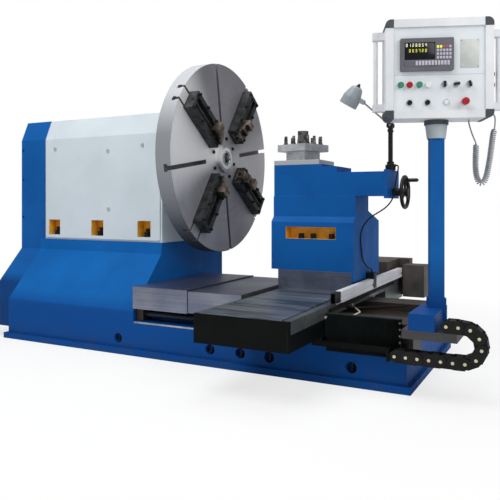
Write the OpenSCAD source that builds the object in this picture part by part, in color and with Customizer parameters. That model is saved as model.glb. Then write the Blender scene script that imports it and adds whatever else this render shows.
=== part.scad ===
// Floor type facing lathe: headstock with a large four jaw faceplate, a bed with saddle and cross
// slide, a tool rest column with a four way tool post, and a swivelling control panel on a post.
// Origin: on the floor, below the centre of the faceplate's front face.
// +X runs along the spindle towards the tool, +Y to the back of the machine, +Z up.

/* [Faceplate] */
// Diameter of the faceplate
plate_d = 1400; // [1200:10:1500]
// Thickness of the faceplate at its rim
plate_t = 118; // [100:2:140]
// Height of the spindle axis above the floor
spindle_z = 1348; // [1320:2:1380]
// Turn of the faceplate at rest
plate_turn = 8.8; // [0:0.2:44]
// Width of the clamping slots at the face
slot_w = 30; // [22:1:36]
// Depth of the clamping slots
slot_depth = 56; // [50:1:64]
// Width of the T at the bottom of a clamping slot
slot_t_w = 52; // [44:1:60]
// Distance between the two narrow slots under a jaw guide
twin_gap = 112; // [100:2:116]
// Width of a jaw guide
guide_w = 150; // [136:2:164]
// Length of a jaw guide along the radius
guide_len = 420; // [400:5:440]
// Height of a jaw guide above the face
guide_h = 72; // [64:1:80]
// Radius at which a jaw guide starts
guide_r0 = 205; // [195:5:230]
// Width of a jaw's foot in its guide
jaw_w = 74; // [64:1:84]
// Length of a jaw's foot
jaw_len = 150; // [130:2:170]
// Height of a jaw above the face
jaw_h = 136; // [126:1:150]

/* [Spindle and drive] */
// Diameter of the spindle in its front bearing
spindle_d = 260; // [220:5:280]
// Diameter of the spindle in its rear bearing
spindle_rear_d = 200; // [170:5:215]
// Bore in the centre of the faceplate
plate_bore = 110; // [90:2:130]
// Radial thickness of the spindle bearings
bearing_t = 55; // [40:1:65]
// Diameter of the pulley on the spindle
spindle_pulley_d = 470; // [420:5:500]
// Diameter of the pulley on the motor
motor_pulley_d = 235; // [200:5:260]
// Width of both pulleys
pulley_w = 110; // [90:2:130]
// Diameter of the main motor
motor_d = 330; // [290:5:360]
// Length of the main motor
motor_len = 480; // [420:10:560]
// Height of the motor's axis above the floor
motor_z = 470; // [455:1:480]

/* [Headstock] */
// Length of the headstock along the spindle
head_len = 1135; // [1050:5:1200]
// Gap between the faceplate and the headstock
nose_gap = 151; // [130:1:170]
// Distance from the spindle axis to the headstock's front
head_front = 410; // [395:1:420]
// Distance from the spindle axis to the headstock's back
head_back = 425; // [400:5:440]
// Height of the headstock's top above the spindle axis
head_rise = 322; // [310:2:340]
// Height of the bevel along the headstock's top front edge
bevel_h = 154; // [120:2:180]
// Depth of that bevel
bevel_d = 65; // [50:1:80]
// Wall of the headstock casting
head_wall = 60; // [45:1:80]
// Thickness of the removable front panel
panel_t = 10; // [6:1:14]
// Thickness of the belt cover along the spindle
cover_w = 255; // [230:5:280]
// Wall of the belt cover
cover_wall = 12; // [8:1:16]
// How far the belt cover overhangs the base
cover_over = 215; // [205:1:225]
// Height of the belt cover's bottom above the floor
cover_bottom = 85; // [70:1:110]
// Side of a square hold down pocket
pocket_side = 118; // [100:2:126]
// Distance between hold down pockets
pocket_pitch = 437; // [420:1:445]
// Diameter of a hold down bolt
hold_bolt_d = 30; // [24:1:36]

/* [Base and bed] */
// Length of the bed beyond the saddle
bed_run = 445; // [405:5:495]
// Distance from the spindle axis to the base's front
base_front = 740; // [720:1:755]
// Distance from the spindle axis to the base's back
base_back = 440; // [435:1:470]
// Height of the base beside the bed
ledge_z = 225; // [210:1:235]
// Height of the base's upright front under the headstock
plinth_z = 293; // [270:1:310]
// Height of the top of the sloping front
slope_z = 647; // [620:1:665]
// Height of the seat of the headstock
seat_z = 728; // [715:1:745]
// Height of the foot flange
flange_h = 40; // [30:1:50]
// How far the foot flange stands out
flange_out = 25; // [15:1:30]
// Diameter of a levelling pocket
level_d = 64; // [50:1:80]
// Height of the bed's ways above the floor
way_z = 364; // [356:1:370]
// Thickness of the bed's ways
way_t = 54; // [46:1:58]
// Width of each of the two ways
way_w = 205; // [180:5:230]
// Distance between the outer edges of the ways
way_span = 880; // [850:5:885]
// Height of the way covers' top above the floor
way_cover_z = 457; // [450:1:465]
// Sheet thickness of the way covers
sheet_t = 4; // [3:0.5:6]

/* [Saddle and cross slide] */
// Distance from the faceplate to the saddle's left side
saddle_x = 551; // [540:1:570]
// Width of the saddle along the bed
saddle_w = 550; // [540:2:560]
// Reach of the saddle in front of the spindle axis
saddle_front = 1275; // [1230:5:1300]
// Reach of the saddle behind the spindle axis
saddle_back = 1000; // [980:5:1030]
// Height of the saddle's top above the floor
saddle_z = 432; // [426:1:438]
// Height of the telescopic cover in front of the cross slide
cross_cover_t = 12; // [9:1:14]
// Height of the bottom of the front cover above the floor
front_cover_z = 276; // [262:1:290]
// Diameter of the feed screw along the bed
feed_screw_d = 40; // [34:1:46]
// Diameter of the cross screw
cross_screw_d = 30; // [24:1:34]
// Distance of the cross slide's front from the spindle axis
cross_front = 228; // [210:1:245]
// Length of the cross slide across the bed
cross_len = 587; // [560:1:610]
// Height of the cross slide's top above the floor
cross_z = 565; // [555:1:575]
// Height of the linear scale's top above the floor
scale_z = 500; // [494:1:503]
// Width of the linear scale
scale_w = 36; // [30:1:44]

/* [Tool rest] */
// Left side of the tool rest from the faceplate
rest_x = 507; // [500:1:512]
// Width of the tool rest
rest_w = 579; // [560:1:584]
// Height at which the shoulder of the tool rest starts
shoulder_z = 886; // [870:1:900]
// Height of the tool rest's top
rest_z = 1058; // [1045:1:1070]
// Reach of the upper block in front of the spindle axis
upper_front = 192; // [180:1:205]
// Depth of the upper block
upper_w = 293; // [280:1:310]
// Height of the top slide's ways
arm_z = 1213; // [1200:1:1225]
// Length of the top slide base with its arm
arm_len = 764; // [740:2:790]
// Thickness of the end plate on the arm
end_plate_t = 20; // [14:1:26]
// Length of the top slide's block
slide_len = 349; // [335:1:365]
// Length of the top slide's lower step
step_len = 104; // [90:1:120]
// Height of the top slide's block
slide_h = 57; // [50:1:64]
// Side of the square tool post
post_side = 250; // [236:2:264]
// Turn of the tool post at rest
post_turn = -17.5; // [-45:0.5:45]
// Height of the tool slots
tool_slot_h = 64; // [56:1:72]
// Side of the tool post's core
post_core = 165; // [150:1:180]
// Height of the tool post's top flange
post_top_h = 48; // [42:1:54]
// Diameter of a clamp bolt
clamp_bolt_d = 22; // [18:1:26]
// Height of a clamp bolt above the tool post
clamp_bolt_h = 58; // [50:1:66]
// Diameter of the handwheel
wheel_d = 220; // [206:2:236]
// Diameter of the handwheel's rim
rim_d = 24; // [18:1:28]
// Distance of the handwheel from the end plate
wheel_out = 76; // [70:1:84]
// Diameter of the top slide's screw
top_screw_d = 28; // [24:1:32]

/* [Work lamp] */
// Height of the lower lamp arm
lamp_post_h = 235; // [210:5:260]
// Length of the upper lamp arm
lamp_rod_len = 250; // [230:1:270]
// Lean of the upper lamp arm from upright
lamp_rod_lean = 48; // [40:1:56]
// Diameter of the lamp head
lamp_d = 122; // [110:1:132]
// Length of the lamp head
lamp_len = 138; // [120:1:150]
// Lean of the lamp head from upright
lamp_lean = 32; // [20:1:40]

/* [Control panel] */
// Width of the control panel
box_w = 554; // [540:2:570]
// Height of the control panel
box_h = 524; // [510:2:540]
// Depth of the control panel
box_d = 180; // [160:5:200]
// Height of the control panel's bottom above the floor
box_z = 1458; // [1444:2:1474]
// Yaw of the control panel
box_yaw = 21; // [15:1:25]
// Width of the control panel's frame profile
profile_w = 42; // [36:1:48]
// Side of the panel post
post_w = 74; // [68:1:80]
// Distance of the panel post beyond the base's end
post_out = 123; // [114:1:134]
// Distance of the panel post in front of the spindle axis
post_y = 590; // [580:1:600]
// Diameter of a push button
button_d = 32; // [28:1:36]
// Travel of a push button
button_travel = 5; // [4:0.5:6]

/* [Drag chain] */
// Pitch of the drag chain's links
link_pitch = 58; // [54:1:60]
// Height of a drag chain link
link_h = 66; // [60:1:70]
// Width of the drag chain
chain_w = 74; // [66:1:80]
// Distance between the chain's upper and lower run
chain_bend = 177; // [170:1:184]

/* [Clearances] */
// Running clearance of a shaft in its bore
run_fit = 0.05; // [0.02:0.01:0.09]
// Clearance between sliding faces
slide_fit = 0.4; // [0.35:0.05:0.6]

/* [Hidden] */
$fn = 48;
eps = 1;

paint_blue = "#1f5fb4";
paint_white = "#e8ebec";
steel = "#a9adb0";
dark_steel = "#3a3c40";
rubber = "#1b1b1d";

// Headstock and base along the spindle
head_x1 = -plate_t - nose_gap;
head_x0 = head_x1 - head_len;
cover_x0 = head_x0 - cover_w;
base_x0 = cover_x0 + cover_over;
base_x1 = saddle_x + saddle_w + bed_run;
post_x = base_x1 + post_out;
head_top = spindle_z + head_rise;
ped_front = head_front + panel_t;
pocket_depth = 70;
pocket_z = seat_z + 36;

// Places of the hold down pockets, on a headstock of the length they were chosen for
chosen_head = 1135;
pocket_scale = head_len / chosen_head;
pocket_shift = 24;
pocket_x = [for (i = [-1:1]) (head_x0 + head_x1) / 2 + pocket_scale * (i * pocket_pitch - pocket_shift)];

seat_fit = 0.05;
belt_gap = 0.8;
belt_inset = 12;
pulley_rim = 30;
pulley_hub = 20;
pulley_dish = 30;
belt_t = 16;
pulley_x0 = cover_x0 + 60;
tail_d = spindle_rear_d - 40;
motor_face = base_x0 + 40;
motor_clear = 12;
motor_flange = 24;
motor_shaft_d = 70;
motor_shaft_in = 100;
motor_bore_end = 20;
level_x = [1047, 1772, 1985, 2179, 2683];
level_z = 101;
level_depth = 45;
panel_edge = 14;
panel_r = 12;
hold_hole_fit = 2;
hold_stud_up = 62;
washer_d = 62;
washer_t = 8;
hold_nut_d = 54;
hold_nut_h = 28;

// Spindle and faceplate
register_h = 20;
nose_t = 46;
nose_flange = 85;
journal_over = 20;
body_cut = 20;
rear_over = 60;
tail_gap = 10;
tail_out = 20;
plate_rim = 60;
plate_hub = 115;
web_t = plate_t * 0.65;
boss_d = 210;
boss_h = 26;
slot_r0 = 250;
twin_scale = 0.66;

// Jaws and their guides
guide_floor = 18;
guide_end = 26;
jaw_lip = 14;
jaw_lip_h = 18;
jaw_screw_d = 26;
jaw_screw_x = guide_floor + 34;
jaw_screw_in = 4;
jaw_out = 8;
jaw_step_h = 25;

// Bed
bed_front = 725;
bed_back = way_span - bed_front;
rail_z = way_z - way_t;
web_inset = 110;
screw_y = -bed_front + 60;
screw_z = (ledge_z + rail_z) / 2;
block_len = 60;
block_inset = 15;
cover_split = (saddle_x - head_x1) / 2 + 20;
cover_lap = 130;
cover_front = bed_front + 20;
cover_back = bed_back + 20;
cover_skirt_z = rail_z;
cover_gap = 2;
skirt_rise = 4;

// Saddle
saddle_x1 = saddle_x + saddle_w;
saddle_mid = saddle_x + saddle_w / 2;
keeper_t = 48;
keeper_lip = 26;
trough_w = 150;
trough_floor = 20;
trough_in = 75;
front_plate_t = 20;
front_wall = 10;
keeper_in = 30;
rear_gap = 40;
rear_drop = 180;
nut_over = 40;
nut_clear = 10;
screw_end = 40;
screw_gap = 4;
cross_screw_z = way_z + slide_fit + trough_floor + cross_screw_d / 2 + 7;
front_box_y = -bed_front - keeper_t - slide_fit;
nut_len = 220;
drive_y = 640;
drive_len = 460;
drive_tongue = 50;
drive_skirt = 130;
drive_drop = 5;
drive_over = 60;
scale_y0 = -606;
scale_y1 = 935;
scale_back_t = 6;
scale_web = 14;
scale_slot_z = 20;
scale_slot_h = 14;
scale_gap = 10;
scale_head_y = 40;
scale_head_len = 80;
scale_head_h = 41;
feed_motor_x0 = saddle_x1 + scale_w + 6;
feed_motor_x1 = saddle_x1 + 207;
feed_motor_y = 840;
feed_motor_drop = 40;
chain_arm_t = 16;
chain_arm_w = 60;
chain_plate_h = 60;
chain_arm_h = 30;
chain_arm_up = 5;
cross_cover_in = 40;
cross_cover_step = 6;
pleats = 22;
pleat_d = 18;
bellows_gap = 5;
bellows_end = 30;
bellows_drop = 37;
bellows_rise = 32;

// Cross slide and tool rest
cross_x0 = saddle_x + 6;
skirt_t = 13;
cross_nut_y = -50;
cross_nut_len = 200;
cross_x1 = rest_x + rest_w - skirt_t;
cross_back = cross_len - cross_front;
rest_x1 = rest_x + rest_w;
upper_back = upper_w - upper_front;
rest_y = upper_w / 2 - upper_front;
arm_x0 = rest_x + 4;
arm_x1 = arm_x0 + arm_len;
end_x = arm_x1 + end_plate_t;
top_screw_z = rest_z + 24;
slot_y = 40;
slot_in = 60;
slot_out = 220;
screw_bore_in = 40;
top_screw_in = 50;
end_plate_front = 5;
end_plate_low = 16;
end_plate_up = 12;
step_drop = 18;
tenon_x = 180;
tenon_len = 140;
seat_in = 22;
skirt_gap = 4;
rest_pocket_x = rest_x + 106;
rest_pocket_w = 355;
rest_pocket_z = shoulder_z - 112;
rest_pocket_h = 79;
slide_top = arm_z + slide_fit + slide_h;
seat_h = 31;
post_x0 = arm_x0 + 153;
post_seat = slide_top + seat_h;
post_z1 = post_seat + slide_fit + tool_slot_h;
post_z2 = post_z1 + post_top_h;
stud_d = 60;
stud_up = 30;
stud_clear = 4;
bolt_in = 26;
bolt_pitch = post_side * 0.28;
bolt_washer = 8;
bolt_washer_t = 10;
bolt_head = 4;
bolt_head_h = 18;
hub_d = 74;
hub_h = 97;
wheel_x = end_x + wheel_out;
wheel_hub_d = 52;
wheel_hub_out = 22;
spoke_d = 16;
grip_d = 24;
grip_pin_d = 9;
grip_len = 56;
grip_sink = 8;
grip_r = wheel_d / 2 - rim_d;
grip_angle = 25;

// Work lamp
lamp_x = arm_x1 + 2;
lamp_z = arm_z + end_plate_up;
lamp_base_h = 55;
lamp_foot_d = 66;
lamp_neck_d = 46;
lamp_neck_h = 20;
lamp_pin_in = 35;
lamp_pin_cut = 8;
lamp_pin_gap = 2;
gland_len = 36;
gland_d = 18;
gland_z = 30;
lamp_post_d = 30;
elbow_z = lamp_z + lamp_base_h + slide_fit + lamp_post_h;
elbow_d = 44;
elbow_w = 44;
elbow_gap = 16;
elbow_pin_d = 12;
elbow_lip = 6;
elbow_drop = 34;
lamp_rod_d = 12;
eye_d = 26;
eye_w = 16;
eye_clear = 2;
cheek_d = 32;
cheek_t = 7;
head_pin_d = 10;
shade_wall = 6;
shade_gap = 20;
shade_rise = 46;
shade_neck_r = 40;
shade_top_r = 26;
shade_top_h = 24;
shade_band = 60;
lamp_tip_x = lamp_x - lamp_rod_len * sin(lamp_rod_lean);
lamp_tip_z = elbow_z + lamp_rod_len * cos(lamp_rod_lean);

// Control panel, in its own frame: the post's axis is the origin, the front looks along -Y
box_mid = -4;
box_x0 = box_mid - box_w / 2;
box_x1 = box_mid + box_w / 2;
box_y0 = -110;
face_y = box_y0 + 10;
face_t = 8;
collar_h = 24;
collar_d = 128;
taper_h = 75;
taper_d0 = 96;
taper_d1 = 116;
collar_z = box_z - collar_h;
column_top = collar_z - taper_h;
swivel_d = 60;
swivel_h = 20;
sleeve_t = 8;
sleeve_h = 140;
foot_h = 86;
foot_over = 42;
foot_gap = 34;
bracket_back = 90;
rib_t = 24;
rib_in = 40;
rib_drop = 60;
frame_r = 30;
inner_r = 6;
frame_lip = 14;
back_t = 12;
handle_reach = 60;
handle_d = 24;
handle_arm = 40;
handle_in = 48;
handle_lap = 12;
handle_lip = 4;
stem_d = 24;
readout_w = 275;
readout_h = 172;
readout_t = 20;
readout_r = 8;
readout_in = 33;
screen_in = 22;
screen_w = 158;
screen_t = 6;

// Gaps up the face between the frame's bottom, row 2, row 1, the read-out and the frame's top
face_gaps = [41, 94, 71, 62];
gap_sum = face_gaps[0] + face_gaps[1] + face_gaps[2] + face_gaps[3];
gap_scale = (box_h - 2 * profile_w - readout_h) / gap_sum;
row_2_z = box_z + profile_w + gap_scale * face_gaps[0];
row_1_z = row_2_z + gap_scale * face_gaps[1];
readout_z = row_1_z + gap_scale * face_gaps[2];
readout_x = box_x0 + profile_w + readout_in;

// Distances from the frame's left side, on a face of the width they were chosen for
chosen_w = 470;
row_scale = (box_w - 2 * profile_w) / chosen_w;
button_in = [37, 83, 134, 180];
selector_in = [262, 323, 390];
button_x = [for (x = button_in) box_x0 + profile_w + row_scale * x];
selector_x = [for (x = selector_in) box_x0 + profile_w + row_scale * x];
estop_in = 364;
estop_x = box_x0 + profile_w + row_scale * estop_in;
stem_out = 8;
stem_in = 6;
cap_gap = 1;
button_h = 16;
knob_h = 12;
knob_bar = [12, 15, 30];
selector_turn = [0, 80, -15];
estop_d = 38;
estop_h = 40;
estop_cap_t = 20;
estop_neck_d = 30;

// Drag chain
chain_out = 82;
chain_start = 220;
chain_turn = 300;
chain_end = 75;
chain_y = -base_front - chain_out;
chain_x0 = base_x1 + chain_start;
chain_top = 396;
chain_low = chain_top - chain_bend;
bracket_t = 45;
bracket_z = chain_top - link_h / 2 - bracket_t;
chain_cx = base_x1 + chain_turn;
chain_end_x = base_x1 - chain_end;
chain_arc = PI * chain_bend / 2;
chain_upper = chain_cx - chain_x0;
chain_total = chain_upper + chain_arc + chain_cx - chain_end_x;
link_count = floor(chain_total / link_pitch);
link_eye_d = link_pitch - 2;
chain_tip = chain_at(link_count * link_pitch).x - link_eye_d / 2 - slide_fit;
chain_plate_t = 14;
link_t = 8;

// The bracket ends where the chain starts to bend
bracket_x1 = chain_x0 + floor(chain_upper / link_pitch) * link_pitch - 4;

// Cord routes, chosen by hand. The pendant's are in the panel's frame
coil_d = 26;
lead_d = 7;
lamp_lead_d = 9;
pendant_out = [[166, -20, box_z], [166, -20, 1446], [169, -20, 1430], [176, -20, 1405],
    [185, -20, 1378], [194, -20, 1355], [200, -20, 1341], [201.8, -20, 1333.6],
    [201.99, -20, 1328.3]];
pendant_coil = [[202, -20, 1328], [203, -20, 1300], [202, -20, 1270], [201, -20, 1240],
    [201, -20, 1210], [203, -20, 1180], [208, -20, 1150], [217, -20, 1128], [229, -20, 1118],
    [242, -20, 1123], [252, -20, 1142], [260, -20, 1170], [267, -20, 1205], [273, -20, 1240],
    [279, -20, 1280], [284, -20, 1320], [289, -20, 1360], [294, -20, 1390], [298, -20, 1408]];
pendant_back = [[298.07, -20, 1408.3], [299.2, -20, 1413.4], [301, -20, 1427], [302, -20, 1445],
    [302, -20, 1462], [300, -20, 1473], [295, -20, 1482], [288.5, -20, 1489.5], [281, -20, 1494],
    [box_x1 + slide_fit, -20, 1494]];
lamp_route = [[lamp_x + gland_len, rest_y, lamp_z + gland_z],
    [lamp_x + gland_len + lamp_lead_d, rest_y, lamp_z + gland_z],
    [1330, -56, 1245], [1332, -76, 1217],
    [1329, -98, 1180], [1327, -114, 1140], [1325, -128, 1100], [1321, -140, 1060],
    [1309, -150, 1025], [1287, -156, 995], [1257, -158, 970], [1221, -156, 948],
    [1183, -150, 925], [1149, -142, 896], [1121, -132, 860], [1103, -120, 820],
    [1095, -106, 780], [1093, -92, 740], [1093, -78, 700], [1093, -64, 660],
    [1097, -46, 625], [1104, -20, 600], [1109, 10, 580], [1113, 40, 570], [1115, 62, 566],
    [1116, 76, 561], [1116, 80, 552], [1116, 80, scale_z + slide_fit + scale_head_h]];

// Helpers
module between(a, b) { translate(a) cube(b - a); }

module bar_x(x0, x1, d) { translate([x0, 0, 0]) rotate([0, 90, 0]) cylinder(d = d, h = x1 - x0); }

module bar_y(y0, y1, d) { translate([0, y0, 0]) rotate([-90, 0, 0]) cylinder(d = d, h = y1 - y0); }

module at_spindle() { translate([0, 0, spindle_z]) children(); }

module at_panel() { translate([post_x, -post_y, 0]) rotate([0, 0, box_yaw]) children(); }

// Extrudes an outline drawn in the Y-Z plane along X
module along_x(x0, x1) {
    translate([x0, 0, 0]) rotate([90, 0, 90]) linear_extrude(x1 - x0) children();
}

// Extrudes an outline drawn in the X-Z plane along Y
module along_y(y0, y1) {
    translate([0, y1, 0]) rotate([90, 0, 0]) linear_extrude(y1 - y0) children();
}

// Rectangle with round corners between two corners
module round_rect(a, b, r) {
    translate([a.x + r, a.y]) square([b.x - a.x - 2 * r, b.y - a.y]);
    translate([a.x, a.y + r]) square([b.x - a.x, b.y - a.y - 2 * r]);
    for (x = [a.x + r, b.x - r], y = [a.y + r, b.y - r]) translate([x, y]) circle(r);
}

// Swept tube along a list of points
function unit(v) = v / norm(v);
function heading(p, i) =
    i == 0 ? unit(p[1] - p[0]) :
    i == len(p) - 1 ? unit(p[i] - p[i - 1]) : unit(p[i + 1] - p[i - 1]);
function side_of(t) = unit(cross(t, abs(t.y) < 0.9 ? [0, 1, 0] : [1, 0, 0]));
module tube(points, d, sides) {
    rings = [for (i = [0:len(points) - 1])
        let (t = heading(points, i), u = side_of(t), v = cross(t, u))
        for (k = [0:sides - 1])
            points[i] + d / 2 * (cos(360 * k / sides) * u + sin(360 * k / sides) * v)];
    n = len(points);
    walls = [for (i = [0:n - 2], k = [0:sides - 1])
        let (a = i * sides + k, b = i * sides + (k + 1) % sides)
        each [[a, b, b + sides], [a, b + sides, a + sides]]];
    first = [[for (k = [sides - 1:-1:0]) k]];
    last = [[for (k = [0:sides - 1]) (n - 1) * sides + k]];
    polyhedron(rings, concat(walls, first, last));
}

// Base, bed and headstock
module base() {
    color(paint_blue) difference() {
        union() {
            between([base_x0, -base_front, 0], [base_x1, base_back, ledge_z]);
            between([base_x0 - flange_out, -base_front - flange_out, 0],
                [base_x1 + flange_out, base_back + flange_out, flange_h]);
            along_x(base_x0, head_x1) polygon([[-base_front, ledge_z], [-base_front, plinth_z],
                [-ped_front, slope_z], [-ped_front, seat_z], [base_back, seat_z],
                [base_back, ledge_z]]);
        }
        motor_room();
        for (x = level_x)
            translate([base_x0 + x, 0, level_z])
                bar_y(-base_front - eps, -base_front + level_depth, level_d);
    }
}

// Room for the main motor, open to the belt cover
module motor_room() {
    half = motor_d / 2 + motor_clear;
    translate([0, 0, motor_z]) bar_x(base_x0 - eps, motor_face + motor_len + motor_clear, 2 * half);
}

module bed() {
    web0 = -bed_front + web_inset;
    web1 = bed_back - web_inset;
    color(steel) difference() {
        union() {
            between([head_x1, web0, ledge_z], [base_x1, web1, rail_z]);
            between([head_x1, -bed_front, rail_z], [base_x1, -bed_front + way_w, way_z]);
            between([head_x1, bed_back - way_w, rail_z], [base_x1, bed_back, way_z]);
            for (x = [head_x1, base_x1 - block_len])
                between([x, -bed_front + block_inset, ledge_z], [x + block_len, web0, rail_z]);
        }
        translate([0, screw_y, screw_z])
            bar_x(head_x1 - eps, base_x1 + eps, feed_screw_d + 2 * run_fit);
    }
}

// Outline of the headstock seen along the spindle, inset by a wall
module head_outline(inset) {
    y0 = -head_front + inset;
    z1 = head_top - inset;
    polygon([[y0, seat_z + inset], [y0, head_top - bevel_h], [y0 + bevel_d, z1],
        [head_back - inset, z1], [head_back - inset, seat_z + inset]]);
}

module headstock() {
    color(paint_white) difference() {
        along_x(head_x0, head_x1) head_outline(0);
        along_x(head_x0 + head_wall, head_x1 - head_wall) head_outline(head_wall);
        at_spindle() {
            bar_x(head_x1 - head_wall - eps, head_x1 + eps, spindle_d + 2 * bearing_t);
            bar_x(head_x0 - eps, head_x0 + head_wall + eps, spindle_rear_d + 2 * bearing_t);
        }
        for (x = pocket_x)
            between([x - pocket_side / 2, -head_front - eps, pocket_z],
                [x + pocket_side / 2, -head_front + pocket_depth, pocket_z + pocket_side]);
        for (x = pocket_x)
            translate([x, -head_front + pocket_depth / 2, seat_z - eps])
                cylinder(d = hold_bolt_d + hold_hole_fit, h = pocket_z - seat_z + 2 * eps);
    }
}

module front_panel() {
    color(paint_white) difference() {
        along_y(-head_front - panel_t, -head_front)
            round_rect([head_x0 + panel_edge, seat_z + panel_edge],
                [head_x1 - panel_edge, head_top - bevel_h - panel_edge], panel_r);
        for (x = pocket_x)
            between([x - pocket_side / 2, -head_front - panel_t - eps, pocket_z],
                [x + pocket_side / 2, -head_front + eps, pocket_z + pocket_side]);
    }
}

module end_cover() {
    color(paint_blue) difference() {
        union() {
            along_x(cover_x0, head_x0) cover_outline(0);
            along_x(cover_x0, base_x0) cover_low_outline(0);
        }
        along_x(cover_x0 + cover_wall, head_x0 + eps) cover_outline(cover_wall);
        along_x(cover_x0 + cover_wall, base_x0 + eps) cover_low_outline(cover_wall);
    }
}

// Upper outline of the belt cover, beside the headstock
module cover_outline(inset) {
    y0 = -ped_front + inset;
    y1 = base_back - inset;
    polygon([[y0, seat_z], [y0, head_top - bevel_h], [y0 + bevel_d, head_top - inset],
        [y1, head_top - inset], [y1, seat_z]]);
}

// Lower outline of the belt cover, beside the base
module cover_low_outline(inset) {
    y1 = base_back - inset;
    z0 = cover_bottom + inset;
    polygon([[-base_front + inset, z0], [-base_front + inset, plinth_z], [-ped_front + inset, slope_z],
        [-ped_front + inset, seat_z + eps], [y1, seat_z + eps], [y1, z0]]);
}

module ring_x(x0, x1, outer, inner) {
    difference() {
        bar_x(x0, x1, outer);
        bar_x(x0 - eps, x1 + eps, inner);
    }
}

module spindle_bearings() {
    color(steel) at_spindle() {
        ring_x(head_x1 - head_wall, head_x1, spindle_d + 2 * bearing_t - 2 * seat_fit,
            spindle_d + 2 * run_fit);
        ring_x(head_x0, head_x0 + head_wall, spindle_rear_d + 2 * bearing_t - 2 * seat_fit,
            spindle_rear_d + 2 * run_fit);
    }
}

module main_motor() {
    color(dark_steel) translate([0, 0, motor_z]) difference() {
        union() {
            bar_x(motor_face, motor_face + motor_len, motor_d);
            for (x = [motor_face, motor_face + motor_len - motor_flange])
                bar_x(x, x + motor_flange, motor_d + 2 * motor_clear - 2 * seat_fit);
        }
        bar_x(motor_face - eps, motor_face + motor_shaft_in + motor_bore_end, motor_shaft_d + 2 * run_fit);
    }
}

// Outline of the belts: the tangent band round both pulleys, seen along the spindle
module belt_band(grow) {
    hull() {
        translate([0, spindle_z]) circle(spindle_pulley_d / 2 + grow);
        translate([0, motor_z]) circle(motor_pulley_d / 2 + grow);
    }
}

module drive_belts() {
    color(rubber) along_x(pulley_x0 + belt_inset, pulley_x0 + pulley_w - belt_inset) difference() {
        belt_band(belt_gap + belt_t);
        belt_band(belt_gap);
    }
}

module spindle_pulley() {
    color(dark_steel) at_spindle() difference() {
        ring_x(pulley_x0, pulley_x0 + pulley_w, spindle_pulley_d, tail_d + 2 * seat_fit);
        ring_x(pulley_x0 - eps, pulley_x0 + pulley_dish, spindle_pulley_d - 2 * pulley_rim,
            spindle_rear_d + 2 * pulley_hub);
    }
}

module motor_pulley() {
    color(dark_steel) translate([0, 0, motor_z]) {
        bar_x(pulley_x0, pulley_x0 + pulley_w, motor_pulley_d);
        bar_x(pulley_x0 + pulley_w - eps, motor_face + motor_shaft_in, motor_shaft_d);
    }
}

module hold_down_bolts() {
    y = -head_front + pocket_depth / 2;
    color(dark_steel) for (x = pocket_x) translate([x, y, 0]) {
        translate([0, 0, seat_z]) cylinder(d = hold_bolt_d, h = pocket_z - seat_z + hold_stud_up);
        translate([0, 0, pocket_z]) cylinder(d = washer_d, h = washer_t);
        translate([0, 0, pocket_z + washer_t - eps]) cylinder(d = hold_nut_d, h = hold_nut_h, $fn = 6);
    }
}

// A sheet cover over the bed, open below and at both ends
module way_cover(x0, x1, inset, skirt) {
    y0 = -cover_front + inset;
    y1 = cover_back - inset;
    z1 = way_cover_z - inset;
    along_x(x0, x1) difference() {
        translate([y0, skirt]) square([y1 - y0, z1 - skirt]);
        translate([y0 + sheet_t, skirt - eps]) square([y1 - y0 - 2 * sheet_t, z1 - skirt - sheet_t + eps]);
    }
}

module way_cover_fixed() {
    color(steel) way_cover(head_x1, head_x1 + cover_split, 0, cover_skirt_z);
}

module way_cover_moving() {
    color(steel) way_cover(head_x1 + cover_split - cover_lap, saddle_x, sheet_t + cover_gap,
        cover_skirt_z + skirt_rise);
}

// Spindle group
module spindle() {
    color(steel) at_spindle() {
        bar_x(-plate_t - eps, -plate_t + register_h, spindle_d - 2 * seat_fit);
        bar_x(-plate_t - nose_t, -plate_t, spindle_d + 2 * nose_flange);
        bar_x(head_x1 - head_wall - journal_over, -plate_t - nose_t + eps, spindle_d);
        bar_x(head_x0 + head_wall + rear_over - eps, head_x1 - head_wall, spindle_d - body_cut);
        bar_x(head_x0 - tail_gap, head_x0 + head_wall + rear_over, spindle_rear_d);
        bar_x(pulley_x0 - tail_out, head_x0, tail_d);
    }
}

// A T shaped clamping slot cut along the radius, at an angle round the spindle
module radial_slot(angle, offset, r0, w, t_w) {
    neck = slot_depth * 0.5;
    rotate([angle, 0, 0]) {
        between([-neck, r0, offset - w / 2], [eps, plate_d, offset + w / 2]);
        between([-slot_depth, r0, offset - t_w / 2], [-neck + eps / 2, plate_d, offset + t_w / 2]);
    }
}

module faceplate() {
    color(steel) at_spindle() rotate([plate_turn, 0, 0]) difference() {
        union() {
            bar_x(-plate_t, 0, plate_d);
            bar_x(-eps, boss_h, boss_d);
        }
        ring_x(-plate_t - eps, -web_t, plate_d - 2 * plate_rim, spindle_d + 2 * plate_hub);
        bar_x(-plate_t - eps, boss_h + eps, plate_bore);
        bar_x(-plate_t - eps, -plate_t + register_h + slide_fit, spindle_d);
        for (k = [0:3]) radial_slot(90 * k, 0, slot_r0, slot_w, slot_t_w);
        for (k = [0:3], side = [-1, 1])
            radial_slot(45 + 90 * k, side * twin_gap / 2, slot_r0, slot_w * twin_scale,
                slot_t_w * twin_scale);
    }
}

// Places a jaw or its guide: +Y runs out along the radius of jaw k
module at_jaw(k) { at_spindle() rotate([plate_turn + 45 + 90 * k, 0, 0]) children(); }

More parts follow.
